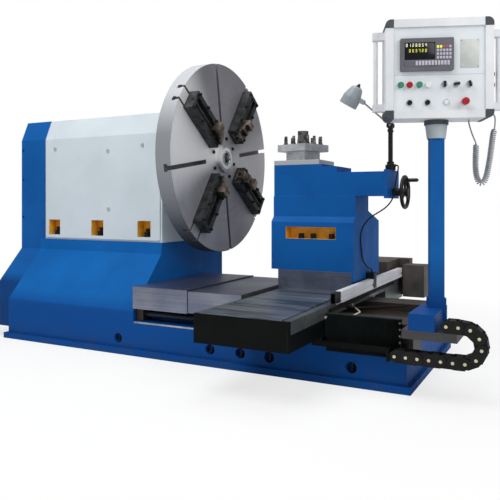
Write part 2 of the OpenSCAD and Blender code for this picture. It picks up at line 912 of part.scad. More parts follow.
module jaw_guides() {
    r1 = guide_r0 + guide_len;
    color(dark_steel) for (k = [0:3]) at_jaw(k) {
        difference() {
            between([0, guide_r0, -guide_w / 2], [guide_h, r1, guide_w / 2]);
            between([guide_floor, guide_r0 - eps, -jaw_w / 2 - slide_fit],
                [guide_h + eps, r1 - guide_end, jaw_w / 2 + slide_fit]);
            between([guide_floor, guide_r0 - eps, -jaw_w / 2 - jaw_lip],
                [guide_floor + jaw_lip_h, r1 - guide_end, jaw_w / 2 + jaw_lip]);
        }
        translate([jaw_screw_x, 0, 0]) bar_y(guide_r0 + jaw_screw_in, r1 - guide_end / 2, jaw_screw_d);
    }
}

module jaw(k) {
    r0 = guide_r0 - jaw_out;
    r1 = r0 + jaw_len;
    step = jaw_len / 3;
    half = jaw_w / 2;
    low = jaw_h - 2 * jaw_step_h;
    mid = jaw_h - jaw_step_h;
    color(dark_steel) at_jaw(k) difference() {
        union() {
            between([guide_floor + slide_fit, r0, -half], [low, r1, half]);
            between([guide_floor + slide_fit, r0, -half - jaw_lip + slide_fit],
                [guide_floor + jaw_lip_h - slide_fit, r1, half + jaw_lip - slide_fit]);
            between([low - eps, r0 + step, -half], [mid, r1, half]);
            between([mid - eps, r0 + 2 * step, -half], [jaw_h, r1, half]);
        }
        translate([jaw_screw_x, 0, 0]) bar_y(r0 - eps, r1 + eps, jaw_screw_d + 2 * slide_fit);
    }
}

// Saddle group
module saddle() {
    under = way_z + slide_fit;
    front = -bed_front - slide_fit;
    back = bed_back + slide_fit;
    lip_z = rail_z - slide_fit;
    plate_y = -saddle_front + front_plate_t;
    color(steel) difference() {
        union() {
            between([saddle_x, plate_y, under], [saddle_x1, saddle_back, saddle_z]);
            between([saddle_x + front_wall, plate_y, front_cover_z + front_wall],
                [saddle_x1 - front_wall, front_box_y, under + eps]);
            between([saddle_x, front_box_y, lip_z - keeper_lip], [saddle_x1, front, under + eps]);
            between([saddle_x, front - eps, lip_z - keeper_lip], [saddle_x1, front + keeper_in, lip_z]);
            between([saddle_mid - nut_len / 2, front - eps, ledge_z + nut_clear],
                [saddle_mid + nut_len / 2, screw_y + nut_over, lip_z]);
            between([saddle_x, back, lip_z - keeper_lip], [saddle_x1, back + keeper_t, under + eps]);
            between([saddle_x, back - keeper_in, lip_z - keeper_lip], [saddle_x1, back + eps, lip_z]);
            between([saddle_x, base_back + rear_gap, saddle_z - rear_drop],
                [saddle_x1, saddle_back, under + eps]);
        }
        between([saddle_mid - trough_w / 2, -saddle_front + trough_in, under + trough_floor],
            [saddle_mid + trough_w / 2, saddle_back + eps, saddle_z + eps]);
        translate([0, screw_y, screw_z])
            bar_x(saddle_x, saddle_x1, feed_screw_d + 2 * run_fit);
        translate([saddle_mid, 0, cross_screw_z])
            bar_y(-saddle_front + screw_end, -saddle_front + trough_in + eps, cross_screw_d + 2 * run_fit);
    }
}

module saddle_front_cover() {
    plate_y = -saddle_front + front_plate_t;
    arm_x = saddle_x1 - chain_arm_w;
    arm_z = chain_low + chain_arm_up;
    half = chain_plate_h / 2;
    color(rubber) {
        difference() {
            between([saddle_x, -saddle_front, front_cover_z], [saddle_x1, front_box_y - cover_gap, way_z]);
            between([saddle_x + front_wall, plate_y, front_cover_z + front_wall],
                [saddle_x1 - front_wall, front_box_y, way_z + eps]);
        }
        between([saddle_x, -saddle_front, way_z - eps], [saddle_x1, plate_y, saddle_z]);
        between([arm_x, chain_y - chain_arm_t / 2, arm_z],
            [saddle_x1, chain_y + chain_arm_t / 2, front_cover_z + eps]);
        between([arm_x, chain_y - chain_arm_t / 2, arm_z],
            [chain_tip - eps, chain_y + chain_arm_t / 2, arm_z + chain_arm_h]);
        between([chain_tip - chain_plate_t, chain_y - chain_w / 2, chain_low - half],
            [chain_tip, chain_y + chain_w / 2, chain_low + half]);
    }
}

module linear_scale() {
    x0 = saddle_x1;
    body_x = x0 + scale_back_t - eps;
    color(steel) {
        between([x0, scale_y0, saddle_z - scale_web], [x0 + scale_back_t, scale_y1, scale_z]);
        along_y(scale_y0, scale_y1) difference() {
            translate([body_x, saddle_z]) square([x0 + scale_w - body_x, scale_z - saddle_z]);
            translate([x0 + scale_w - scale_back_t, saddle_z + scale_slot_z])
                square([scale_back_t + eps, scale_slot_h]);
        }
    }
}

module cross_drive_cover() {
    drive_y1 = drive_y + drive_len;
    half = trough_w / 2 - slide_fit;
    color(steel) difference() {
        union() {
            between([cross_x0, drive_y, saddle_z], [cross_x1, drive_y1, cross_z - drive_drop]);
            between([saddle_mid - half, drive_y, way_z + 2 * slide_fit + trough_floor],
                [saddle_mid + half, drive_y + drive_tongue, saddle_z + eps]);
            between([feed_motor_x0, feed_motor_y, front_cover_z],
                [feed_motor_x1, saddle_back, cross_z - feed_motor_drop]);
            between([saddle_x1, scale_y1 + scale_gap, front_cover_z],
                [feed_motor_x0 + eps, saddle_back, saddle_z]);
            between([cross_x0, saddle_back, saddle_z - drive_skirt],
                [saddle_x1 + drive_over, drive_y1, cross_z - drive_drop]);
        }
        translate([saddle_mid, 0, cross_screw_z])
            bar_y(drive_y - eps, drive_y + drive_tongue + eps, cross_screw_d + 2 * run_fit);
    }
}

// Telescopic steel cover over the cross ways, in front of the cross slide
module cross_way_cover() {
    x0 = saddle_x + cross_cover_in;
    x1 = saddle_x1 - cross_cover_in;
    run = saddle_front - cross_front;
    step = cross_cover_t / 4;
    color(steel) for (k = [0:2])
        between([x0 + cross_cover_step * k, -saddle_front + run * k / 3, saddle_z],
            [x1 - cross_cover_step * k, -saddle_front + run * (k + 1) / 3,
                saddle_z + cross_cover_t - step * (2 - k)]);
}

module feed_screw() {
    color(steel) translate([0, screw_y, screw_z])
        bar_x(head_x1 + screw_gap, base_x1 - screw_gap, feed_screw_d);
}

module cross_screw() {
    color(steel) translate([saddle_mid, 0, cross_screw_z])
        bar_y(-saddle_front + screw_end + screw_gap, drive_y + drive_tongue - screw_gap, cross_screw_d);
}

module feed_bellows() {
    x0 = saddle_x1 + slide_fit;
    x1 = base_x1 - bellows_end;
    y0 = chain_y + chain_w / 2 + bellows_gap;
    y1 = -base_front - slide_fit;
    z0 = ledge_z - bellows_drop;
    pitch = (x1 - x0) / pleats;
    color(rubber) translate([0, 0, z0]) linear_extrude(way_z + bellows_rise - z0) polygon(concat(
        [for (i = [0:pleats - 1]) each [[x0 + i * pitch, y0 + pleat_d], [x0 + (i + 0.5) * pitch, y0]]],
        [[x1, y0 + pleat_d], [x1, y1], [x0, y1]]));
}

// Cross slide group
module cross_slide() {
    color(steel) difference() {
        union() {
            between([cross_x0, -cross_front, saddle_z + slide_fit], [cross_x1, cross_back, cross_z]);
            between([saddle_mid - trough_w / 2 + slide_fit, cross_nut_y,
                way_z + 2 * slide_fit + trough_floor],
                [saddle_mid + trough_w / 2 - slide_fit, cross_nut_y + cross_nut_len, saddle_z + eps]);
        }
        translate([saddle_mid, 0, cross_screw_z])
            bar_y(-cross_front - eps, cross_back + eps, cross_screw_d + 2 * run_fit);
    }
}

module tool_rest() {
    z0 = cross_z;
    shoulder = 36;
    color(paint_blue) difference() {
        union() {
            along_x(rest_x, rest_x1) polygon([[-cross_front, z0], [-cross_front, shoulder_z],
                [-upper_front, shoulder_z + shoulder], [-upper_front, rest_z], [upper_back, rest_z],
                [upper_back, shoulder_z + 2 * shoulder], [cross_back, shoulder_z], [cross_back, z0]]);
            between([cross_x1, -cross_front, scale_z + skirt_gap], [rest_x1, cross_back, z0 + eps]);
        }
        between([rest_pocket_x, -cross_front - eps, rest_pocket_z],
            [rest_pocket_x + rest_pocket_w, -cross_front + pocket_depth, rest_pocket_z + rest_pocket_h]);
    }
}

module top_slide_base() {
    color(paint_blue) difference() {
        union() {
            between([arm_x0, -upper_front, rest_z], [arm_x1, upper_back, arm_z]);
            between([arm_x1 - eps, -upper_front - end_plate_front, rest_z - end_plate_low],
                [end_x, upper_back, arm_z + end_plate_up]);
        }
        between([arm_x0 + slot_in, rest_y - slot_y / 2, rest_z - eps],
            [arm_x1 - slot_out, rest_y + slot_y / 2, arm_z + eps]);
        translate([0, rest_y, top_screw_z])
            bar_x(arm_x0 + screw_bore_in, end_x + eps, top_screw_d + 2 * run_fit);
    }
}

module scale_head() {
    color(dark_steel) between([rest_x1, scale_head_y, scale_z + slide_fit],
        [saddle_x1 + scale_w, scale_head_y + scale_head_len, scale_z + scale_head_h]);
}

module top_slide() {
    z0 = arm_z + slide_fit;
    color(paint_blue) {
        between([arm_x0, -upper_front, z0], [arm_x0 + slide_len, upper_back, slide_top]);
        between([arm_x0 + slide_len - eps, -upper_front, z0],
            [arm_x0 + slide_len + step_len, upper_back, slide_top - step_drop]);
        difference() {
            between([arm_x0 + tenon_x, rest_y - slot_y / 2 + slide_fit, rest_z + slide_fit],
                [arm_x0 + tenon_x + tenon_len, rest_y + slot_y / 2 - slide_fit, z0 + eps]);
            translate([0, rest_y, top_screw_z]) bar_x(arm_x0, arm_x1, top_screw_d + 2 * run_fit);
        }
    }
    color(steel) {
        between([arm_x0, -upper_front, slide_top - eps],
            [arm_x0 + slide_len - seat_in, upper_back, post_seat]);
        translate([post_x0, rest_y, post_seat - eps]) cylinder(d = stud_d, h = post_z2 - post_seat + stud_up);
    }
}

module tool_post() {
    color(dark_steel) translate([post_x0, rest_y, 0]) rotate([0, 0, post_turn]) difference() {
        union() {
            translate([-post_core / 2, -post_core / 2, post_seat + slide_fit])
                cube([post_core, post_core, tool_slot_h + eps]);
            translate([-post_side / 2, -post_side / 2, post_z1]) cube([post_side, post_side, post_top_h]);
        }
        translate([0, 0, post_seat]) cylinder(d = stud_d + 2 * run_fit, h = post_z2);
    }
}

module tool_clamp_bolts() {
    edge = post_side / 2 - bolt_in;
    color(dark_steel) translate([post_x0, rest_y, post_z2]) rotate([0, 0, post_turn]) {
        for (k = [0:3], i = [-1:1]) rotate([0, 0, 90 * k]) translate([i * bolt_pitch, edge, 0]) {
            cylinder(d = clamp_bolt_d + bolt_washer, h = bolt_washer_t);
            cylinder(d = clamp_bolt_d, h = clamp_bolt_h - bolt_head_h + eps);
            translate([0, 0, clamp_bolt_h - bolt_head_h])
                cylinder(d = clamp_bolt_d + bolt_head, h = bolt_head_h, $fn = 4);
        }
        difference() {
            cylinder(d = hub_d, h = hub_h);
            translate([0, 0, -eps]) cylinder(d = stud_d + 2 * run_fit, h = stud_up + stud_clear);
        }
    }
}

module handwheel() {
    color(rubber) translate([0, rest_y, top_screw_z]) {
        bar_x(arm_x0 + top_screw_in, wheel_x, top_screw_d);
        bar_x(end_x + slide_fit, wheel_x + wheel_hub_out, wheel_hub_d);
        rotate([0, 90, 0]) translate([0, 0, wheel_x]) rotate_extrude()
            translate([wheel_d / 2 - rim_d / 2, 0]) circle(d = rim_d);
        for (k = [0:2]) rotate([120 * k, 0, 0]) translate([wheel_x, 0, 0])
            cylinder(d = spoke_d, h = wheel_d / 2 - rim_d / 2);
        rotate([-grip_angle, 0, 0]) translate([wheel_x, 0, grip_r])
            bar_x(0, rim_d + grip_len, grip_pin_d);
    }
}

module handwheel_grip() {
    color(rubber) translate([0, rest_y, top_screw_z]) rotate([-grip_angle, 0, 0])
        translate([wheel_x + rim_d - grip_sink, 0, grip_r])
            ring_x(0, grip_len, grip_d, grip_pin_d + 2 * run_fit);
}

// Work lamp group
module lamp_base() {
    color(rubber) translate([lamp_x, rest_y, lamp_z]) difference() {
        union() {
            cylinder(d = lamp_foot_d, h = lamp_base_h - lamp_neck_h);
            cylinder(d = lamp_neck_d, h = lamp_base_h);
            translate([0, 0, gland_z]) bar_x(0, gland_len, gland_d);
        }
        translate([0, 0, lamp_base_h - lamp_pin_in])
            cylinder(d = lamp_post_d - lamp_pin_cut + 2 * run_fit, h = lamp_base_h);
    }
}

module lamp_lower_arm() {
    z0 = lamp_z + lamp_base_h + slide_fit;
    pin_z = lamp_z + lamp_base_h - lamp_pin_in + lamp_pin_gap;
    half = elbow_w / 2;
    gap = elbow_gap / 2;
    color(rubber) translate([lamp_x, rest_y, 0]) difference() {
        union() {
            translate([0, 0, pin_z]) cylinder(d = lamp_post_d - lamp_pin_cut, h = z0 - pin_z + eps);
            translate([0, 0, z0]) cylinder(d = lamp_post_d, h = elbow_z - z0 - gap - eps);
            translate([0, 0, elbow_z]) bar_y(-half, -gap, elbow_d);
            translate([0, 0, elbow_z]) bar_y(gap, half, elbow_d);
            translate([0, 0, elbow_z - elbow_drop]) bar_y(-half, half, lamp_post_d);
        }
        translate([0, 0, elbow_z]) bar_y(-half - eps, half + eps, elbow_pin_d + 2 * run_fit);
        translate([0, 0, elbow_z]) bar_y(-gap, gap, elbow_d + elbow_lip);
    }
}

module lamp_upper_arm() {
    gap = elbow_gap / 2 - slide_fit;
    head_pin = eye_w / 2 + slide_fit + cheek_t;
    color(steel) translate([lamp_x, rest_y, elbow_z]) {
        bar_y(-elbow_w / 2, elbow_w / 2, elbow_pin_d);
        bar_y(-gap, gap, elbow_d - elbow_lip);
        rotate([0, -lamp_rod_lean, 0]) {
            cylinder(d = lamp_rod_d, h = lamp_rod_len);
            translate([0, 0, lamp_rod_len]) bar_y(-eye_w / 2, eye_w / 2, eye_d);
            translate([0, 0, lamp_rod_len]) bar_y(-head_pin, head_pin, head_pin_d);
        }
    }
}

module lamp_head() {
    r = lamp_d / 2;
    lip = shade_top_h - lamp_len;
    inside = eye_w / 2 + slide_fit;
    outside = inside + cheek_t;
    color(paint_white) translate([lamp_tip_x, rest_y, lamp_tip_z]) rotate([0, lamp_lean, 0]) difference() {
        union() {
            translate([-r - shade_gap, 0, shade_rise]) rotate_extrude() polygon([[0, shade_top_h],
                [shade_top_r, shade_top_h], [shade_neck_r, shade_top_h - shade_top_r / 2],
                [r, lip + shade_band], [r, lip], [r - shade_wall, lip],
                [r - shade_wall, lip + shade_band], [shade_neck_r - shade_wall, 0], [0, 0]]);
            between([-shade_gap - shade_wall / 2, -outside, -cheek_d / 2],
                [-eye_d / 2 - eye_clear, outside, cheek_d / 2]);
            for (side = [-1, 1])
                translate([0, side * (inside + cheek_t / 2), 0]) {
                    bar_y(-cheek_t / 2, cheek_t / 2, cheek_d);
                    between([-shade_gap, -cheek_t / 2, -cheek_d / 2], [0, cheek_t / 2, cheek_d / 2]);
                }
        }
        bar_y(-outside - eps, outside + eps, head_pin_d + 2 * run_fit);
    }
}

// Control panel group
module panel_bracket() {
    back_y = -post_y + bracket_back;
    color(steel) between([base_x1, chain_y - chain_w / 2, bracket_z],
        [bracket_x1, back_y, bracket_z + bracket_t]);
    color(steel) between([base_x1, -base_front + rib_in, ledge_z - rib_drop],
        [base_x1 + rib_t, back_y, bracket_z + eps]);
}

module panel_column() {
    half = post_w / 2;
    foot_z = bracket_z + bracket_t;
    color(paint_blue) {
        between([base_x1 + foot_gap, chain_y - chain_w / 2, foot_z],
            [post_x + foot_over, -post_y + bracket_back, foot_z + foot_h]);
        at_panel() {
            translate([-half, -half, foot_z]) cube([post_w, post_w, column_top - foot_z]);
            translate([-half - sleeve_t, -half - sleeve_t, foot_z])
                cube([post_w + 2 * sleeve_t, post_w + 2 * sleeve_t, sleeve_h]);
        }
        translate([post_x, -post_y, column_top - eps])
            cylinder(d1 = taper_d0, d2 = taper_d1, h = taper_h + eps);
        translate([post_x, -post_y, collar_z - eps]) cylinder(d = swivel_d, h = swivel_h);
    }
}

module panel_collar() {
    color(rubber) at_panel() difference() {
        translate([0, 0, collar_z + slide_fit]) cylinder(d = collar_d, h = collar_h - slide_fit);
        translate([0, 0, collar_z]) cylinder(d = swivel_d + 2 * run_fit, h = swivel_h);
    }
}

// Rounded rectangle of the panel, inset from its outline
module panel_rect(inset, r) {
    round_rect([box_x0 + inset, box_z + inset], [box_x1 - inset, box_z + box_h - inset], r);
}

module panel_frame() {
    color(steel) at_panel() difference() {
        along_y(box_y0, box_y0 + box_d) panel_rect(0, frame_r);
        along_y(box_y0 - eps, face_y + face_t) panel_rect(profile_w, inner_r);
        along_y(face_y, box_y0 + box_d - back_t) panel_rect(profile_w + frame_lip, inner_r);
    }
}

// Where the operating pieces stand on the panel's face: [x, z]
function operator_places() = concat([for (x = button_x) [x, row_1_z]],
    [for (x = selector_x) [x, row_1_z]], [[estop_x, row_2_z]]);

module panel_face() {
    color("#c9d3dd") at_panel() difference() {
        along_y(face_y, face_y + face_t) panel_rect(profile_w, inner_r);
        for (p = operator_places())
            translate([p.x, 0, p.y]) bar_y(face_y - eps, face_y + face_t + eps, stem_d + 2 * run_fit);
    }
}

module panel_handles() {
    color(rubber) at_panel() for (out = [-1, 1]) {
        x = out < 0 ? box_x0 : box_x1;
        tip = x + out * handle_reach;
        for (z = [box_z + handle_in, box_z + box_h - handle_in - handle_arm])
            between([min(x, tip), -handle_arm, z], [max(x, tip), 0, z + handle_arm]);
        translate([tip - out * (handle_d / 2 + handle_lip), -handle_arm / 2, box_z + handle_in + handle_lap])
            cylinder(d = handle_d, h = box_h - 2 * (handle_in + handle_lap));
    }
}

module readout() {
    front = face_y - readout_t;
    color(rubber) at_panel() difference() {
        along_y(front, face_y)
            round_rect([readout_x, readout_z], [readout_x + readout_w, readout_z + readout_h], readout_r);
        between([readout_x + screen_in, front - eps, readout_z + screen_in],
            [readout_x + screen_in + screen_w, front + screen_t, readout_z + readout_h - screen_in]);
    }
}

// A stem through the face, carrying what the operator touches
module stem() { bar_y(face_y - stem_out, face_y + face_t + stem_in, stem_d); }

module push_button(k) {
    tint = k == 2 ? "#b3202a" : k == 4 ? "#e8e8e4" : "#1f9a4a";
    color(tint) at_panel() translate([button_x[k - 1], 0, row_1_z]) {
        bar_y(face_y - button_h, face_y - button_travel - cap_gap, button_d);
        stem();
    }
}

module selector(k) {
    color(rubber) at_panel() translate([selector_x[k - 1], 0, row_1_z]) {
        bar_y(face_y - knob_h, face_y - slide_fit, button_d);
        rotate([0, selector_turn[k - 1], 0])
            translate([-knob_bar.x / 2, face_y - knob_h - knob_bar.y + eps, -knob_bar.z / 2]) cube(knob_bar);
        stem();
    }
}

module emergency_stop() {
    color("#c01f2a") at_panel() translate([estop_x, 0, row_2_z]) {
        bar_y(face_y - estop_h, face_y - estop_cap_t, estop_d);
        bar_y(face_y - estop_cap_t - eps, face_y - button_travel - cap_gap, estop_neck_d);
        stem();
    }
}

module pendant_cord_coil() { color("#8d9297") at_panel() tube(pendant_coil, coil_d, 10); }

module pendant_cord_leads() {
    color("#8d9297") at_panel() {
        tube(pendant_out, lead_d, 8);
        tube(pendant_back, lead_d, 8);
    }
}

module lamp_cord() { color(rubber) tube(lamp_route, lamp_lead_d, 8); }

// Drag chain: links along an upper run, a half turn and a lower run
function chain_at(s) =
    s < chain_upper ? [chain_x0 + s, chain_top, 0] :
    s < chain_upper + chain_arc ?
        let (a = (s - chain_upper) / chain_arc * 180)
        [chain_cx + chain_bend / 2 * sin(a), (chain_top + chain_low) / 2 + chain_bend / 2 * cos(a), -a] :
        [chain_cx - (s - chain_upper - chain_arc), chain_low, 180];

module chain_link(wide) {
    y = chain_w / 2 - (wide ? 0 : link_t + slide_fit);
    for (side = [-1, 1])
        along_y(side > 0 ? y - link_t : -y, side > 0 ? y : -y + link_t) {
            translate([0, -link_h / 2]) square([link_pitch, link_h]);
            circle(d = link_eye_d);
            translate([link_pitch, 0]) circle(d = link_eye_d);
        }
    for (z = [eps - link_h / 2, link_h / 2 - link_t])
        between([link_pitch * 0.25, eps - y, z], [link_pitch * 0.75, y - eps, z + link_t - eps]);
}

module drag_chain() {
    color(rubber) for (i = [0:link_count - 1]) {
        p = chain_at(i * link_pitch);
        q = chain_at((i + 1) * link_pitch);
        translate([p.x, chain_y, p.y]) rotate([0, -atan2(q.y - p.y, q.x - p.x), 0]) chain_link(i % 2 == 0);
    }
}

base();
bed();
headstock();
front_panel();
end_cover();
spindle_bearings();
main_motor();
drive_belts();
hold_down_bolts();
way_cover_fixed();
feed_bellows();
panel_bracket();
panel_column();
drag_chain();
spindle();
faceplate();
jaw_guides();
spindle_pulley();
motor_pulley();
jaw(0);  // jaw_1
jaw(1);  // jaw_2
jaw(2);  // jaw_3
jaw(3);  // jaw_4
saddle();
saddle_front_cover();
way_cover_moving();
linear_scale();
cross_drive_cover();
cross_way_cover();
feed_screw();
cross_screw();
cross_slide();
tool_rest();
top_slide_base();
scale_head();
top_slide();
tool_post();
tool_clamp_bolts();
handwheel();
handwheel_grip();
lamp_base();
lamp_lower_arm();
lamp_upper_arm();
lamp_head();
panel_frame();
panel_face();
panel_handles();
readout();
panel_collar();
pendant_cord_coil();
pendant_cord_leads();
lamp_cord();
emergency_stop();
push_button(1);  // push_button_1
push_button(2);  // push_button_2
push_button(3);  // push_button_3
push_button(4);  // push_button_4
selector(1);  // selector_1
selector(2);  // selector_2
selector(3);  // selector_3
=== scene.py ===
"""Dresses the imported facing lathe: a finish for every CAD node and the pieces that the solids leave out.

Everything is in metres in the CAD frame: +X along the spindle towards the tool, +Y to the back, +Z up.
"""
import logging
import math
from dataclasses import dataclass
from enum import Enum
from typing import Any, Sequence

import bmesh
import bpy
from mathutils import Matrix, Vector


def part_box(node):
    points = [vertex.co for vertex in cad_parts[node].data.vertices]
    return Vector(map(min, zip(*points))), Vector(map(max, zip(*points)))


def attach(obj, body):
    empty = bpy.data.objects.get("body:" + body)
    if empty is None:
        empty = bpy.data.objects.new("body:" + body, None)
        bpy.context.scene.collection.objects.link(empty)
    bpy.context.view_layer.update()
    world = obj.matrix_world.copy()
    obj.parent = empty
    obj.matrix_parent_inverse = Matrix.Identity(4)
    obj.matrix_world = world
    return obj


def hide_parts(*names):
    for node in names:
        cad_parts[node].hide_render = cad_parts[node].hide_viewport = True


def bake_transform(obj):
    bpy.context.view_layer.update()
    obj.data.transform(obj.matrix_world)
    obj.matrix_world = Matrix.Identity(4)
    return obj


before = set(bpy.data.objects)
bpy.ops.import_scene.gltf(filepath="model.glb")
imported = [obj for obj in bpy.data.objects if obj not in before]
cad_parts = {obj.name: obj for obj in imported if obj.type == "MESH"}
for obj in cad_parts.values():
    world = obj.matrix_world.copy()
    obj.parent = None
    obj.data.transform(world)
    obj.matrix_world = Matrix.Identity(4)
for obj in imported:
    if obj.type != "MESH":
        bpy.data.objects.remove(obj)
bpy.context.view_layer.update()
LOG = logging.getLogger("facing_lathe")

Point = Sequence[float]
Profile = Sequence[tuple[float, float]]
Tree = bpy.types.NodeTree
Node = bpy.types.Node
Socket = bpy.types.NodeSocket
Ring = list[bmesh.types.BMVert]
Box = tuple[Point, Point, float]

MM = 0.001
PURE_WHITE = "#ffffff"
# Radius of a turned form's tip, and how deep small parts are sunk in the solid that they sit on
TIP, SUNK = 1e-5, 0.0005
# A pocket's lining: its thickness, its broken edge, its distance from the walls and from the pocket's mouth
LINING, LINING_EDGE, GAP, LINING_IN = 0.0015, 0.0004, 0.0004, 0.0006
RIGHT, LEFT, FRONT, UP, DOWN = (1, 0, 0), (-1, 0, 0), (0, -1, 0), (0, 0, 1), (0, 0, -1)
# Inputs of a mix of two colours, by number, and its settings
SHARE, UNDER, OVER = 0, 6, 7
COLOURS = {"out": 2, "data_type": "RGBA"}
# The span of a grain's noise values that is stretched to the whole range
GRAIN = (0.25, 0.75)
# Cosines of the turn from the flat to the rounded normal, on a whole edge and on a worn one
WORN = (0.98, 0.8)


class Axis(Enum):
    """A direction of the CAD frame."""

    X = (1.0, 0.0, 0.0)
    Y = (0.0, 1.0, 0.0)
    Z = (0.0, 0.0, 1.0)


class Kind(Enum):
    """The shader nodes that the finishes and the stage are made of."""

    BACKGROUND = "ShaderNodeBackground"
    BEVEL = "ShaderNodeBevel"
    BUMP = "ShaderNodeBump"
    DIFFUSE = "ShaderNodeBsdfDiffuse"
    EMISSION = "ShaderNodeEmission"
    GEOMETRY = "ShaderNodeNewGeometry"
    JOIN = "ShaderNodeCombineXYZ"
    MAPPING = "ShaderNodeMapping"
    MATH = "ShaderNodeMath"
    MIX = "ShaderNodeMix"
    MIX_SHADER = "ShaderNodeMixShader"
    NOISE = "ShaderNodeTexNoise"
    OUTPUT = "ShaderNodeOutputMaterial"
    PLACE = "ShaderNodeTexCoord"
    RANGE = "ShaderNodeMapRange"
    RAYS = "ShaderNodeLightPath"
    SPLIT = "ShaderNodeSeparateXYZ"
    TANGENT = "ShaderNodeTangent"
    VECTOR = "ShaderNodeVectorMath"
    WORLD = "ShaderNodeOutputWorld"


def linear(code: str) -> tuple[float, float, float, float]:
    """Turns an sRGB hex colour to linear RGBA.

    Args:
        code: the colour, such as "#1d5fb0".

    Returns:
        Linear red, green, blue and an alpha of 1.
    """
    parts = [int(code[i:i + 2], 16) / 255 for i in (1, 3, 5)]
    red, green, blue = (c / 12.92 if c <= 0.04045 else ((c + 0.055) / 1.055) ** 2.4 for c in parts)
    return red, green, blue, 1.0


def add(tree: Tree, kind: Kind, inputs: dict[Any, Any] | None = None, out: str | int = 0,
        **settings: Any) -> Socket | None:
    """Adds one shader node with its settings and links.

    Args:
        tree: the node tree.
        kind: which node.
        inputs: for each input, by name or number, a value, a hex colour or an output to link.
        out: the output to give back, by name or number.
        settings: properties of the node itself.

    Returns:
        That output, or None for a node that has no outputs.
    """
    node = tree.nodes.new(kind.value)
    for name, value in settings.items():
        setattr(node, name, value)
    for key, value in (inputs or {}).items():
        if isinstance(value, Socket):
            tree.links.new(value, node.inputs[key])
        else:
            node.inputs[key].default_value = linear(value) if isinstance(value, str) else value
    return node.outputs[out] if node.outputs else None


def blotches(place: Socket, size_mm: float, detail: float = 3.0, roughness: float = 0.55) -> dict[str, Any]:
    """Gives the inputs of a noise whose blotches are about size_mm across."""
    return {"Vector": place, "Scale": 1 / (size_mm * MM), "Detail": detail, "Roughness": roughness}


def stretch(value: Socket, low: float, high: float, out_low: float = 0.0,
            out_high: float = 1.0) -> dict[str, Any]:
    """Gives the inputs of a range that stretches low..high to out_low..out_high."""
    return {"Value": value, "From Min": low, "From Max": high, "To Min": out_low, "To Max": out_high}


@dataclass(frozen=True)
class Finish:
    """A material: its colour, a second colour that it drifts to, and its gloss."""

    name: str
    colour: str
    second: str
    roughness: float = 0.45
    metallic: float = 0.0
    drift_mm: float = 300.0
    # Grain and orange peel are drawn coarser than the real ones, which are too fine to show
    grain_mm: float = 12.0
    relief_mm: float = 0.15
    edge_mm: float = 2.5
    specular: float = 0.3
    cloud_span: tuple[float, float] = (0.3, 0.7)
    gloss_swing: tuple[float, float] = (-0.07, 0.09)

    def material(self) -> bpy.types.Material:
        """Gives the Blender material, and makes it the first time.

        Returns:
            The material.
        """
        found = bpy.data.materials.get(self.name)
        if found:
            return found
        made = bpy.data.materials.new(self.name)
        made.use_nodes = True
        tree = made.node_tree
        shader = tree.nodes["Principled BSDF"]
        shader.inputs["Roughness"].default_value = self.roughness
        shader.inputs["Metallic"].default_value = self.metallic
        shader.inputs["Specular IOR Level"].default_value = self.specular
        self.paint(tree, shader, add(tree, Kind.PLACE, out="Object"))
        return made

    def dulled(self) -> tuple[float, float]:
        """Gives the roughness where the pattern is smoothest, and where it is roughest."""
        return self.roughness + self.gloss_swing[0], self.roughness + self.gloss_swing[1]

    def relief(self, tree: Tree, shader: Node, height: Socket) -> None:
        """Links a height pattern, on softly rounded edges, to the shader's normal.

        Args:
            tree: the material's node tree.
            shader: its shader.
            height: the pattern.
        """
        edge = add(tree, Kind.BEVEL, {"Radius": self.edge_mm * MM}, samples=4)
        bump = add(tree, Kind.BUMP, {"Strength": 1.0, "Distance": self.relief_mm * MM, "Height": height,
                                     "Normal": edge})
        tree.links.new(bump, shader.inputs["Normal"])

    def worn_edge(self, tree: Tree, reach_mm: float) -> Socket:
        """Gives 1 on sharp edges, within reach_mm of them, and 0 elsewhere.

        Args:
            tree: the material's node tree.
            reach_mm: how far the wear reaches from the edge.

        Returns:
            The wear.
        """
        rounded = add(tree, Kind.BEVEL, {"Radius": reach_mm * MM}, samples=4)
        flat = add(tree, Kind.GEOMETRY, out="Normal")
        turn = add(tree, Kind.VECTOR, {0: rounded, 1: flat}, "Value", operation="DOT_PRODUCT")
        return add(tree, Kind.RANGE, stretch(turn, *WORN))

    def paint(self, tree: Tree, shader: Node, place: Socket) -> None:
        """Moulded or cast: colour drifts in soft clouds, and a fine grain breaks the gloss.

        Args:
            tree: the material's node tree.
            shader: its shader.
            place: the position in the CAD frame.
        """
        drift = add(tree, Kind.NOISE, blotches(place, self.drift_mm))
        cloud = add(tree, Kind.RANGE, stretch(drift, *self.cloud_span))
        colour = add(tree, Kind.MIX, {SHARE: cloud, UNDER: self.colour, OVER: self.second}, **COLOURS)
        tree.links.new(colour, shader.inputs["Base Color"])
        grain = add(tree, Kind.NOISE, blotches(place, self.grain_mm))
        gloss = add(tree, Kind.RANGE, stretch(grain, *GRAIN, *self.dulled()))
        tree.links.new(gloss, shader.inputs["Roughness"])
        self.relief(tree, shader, grain)


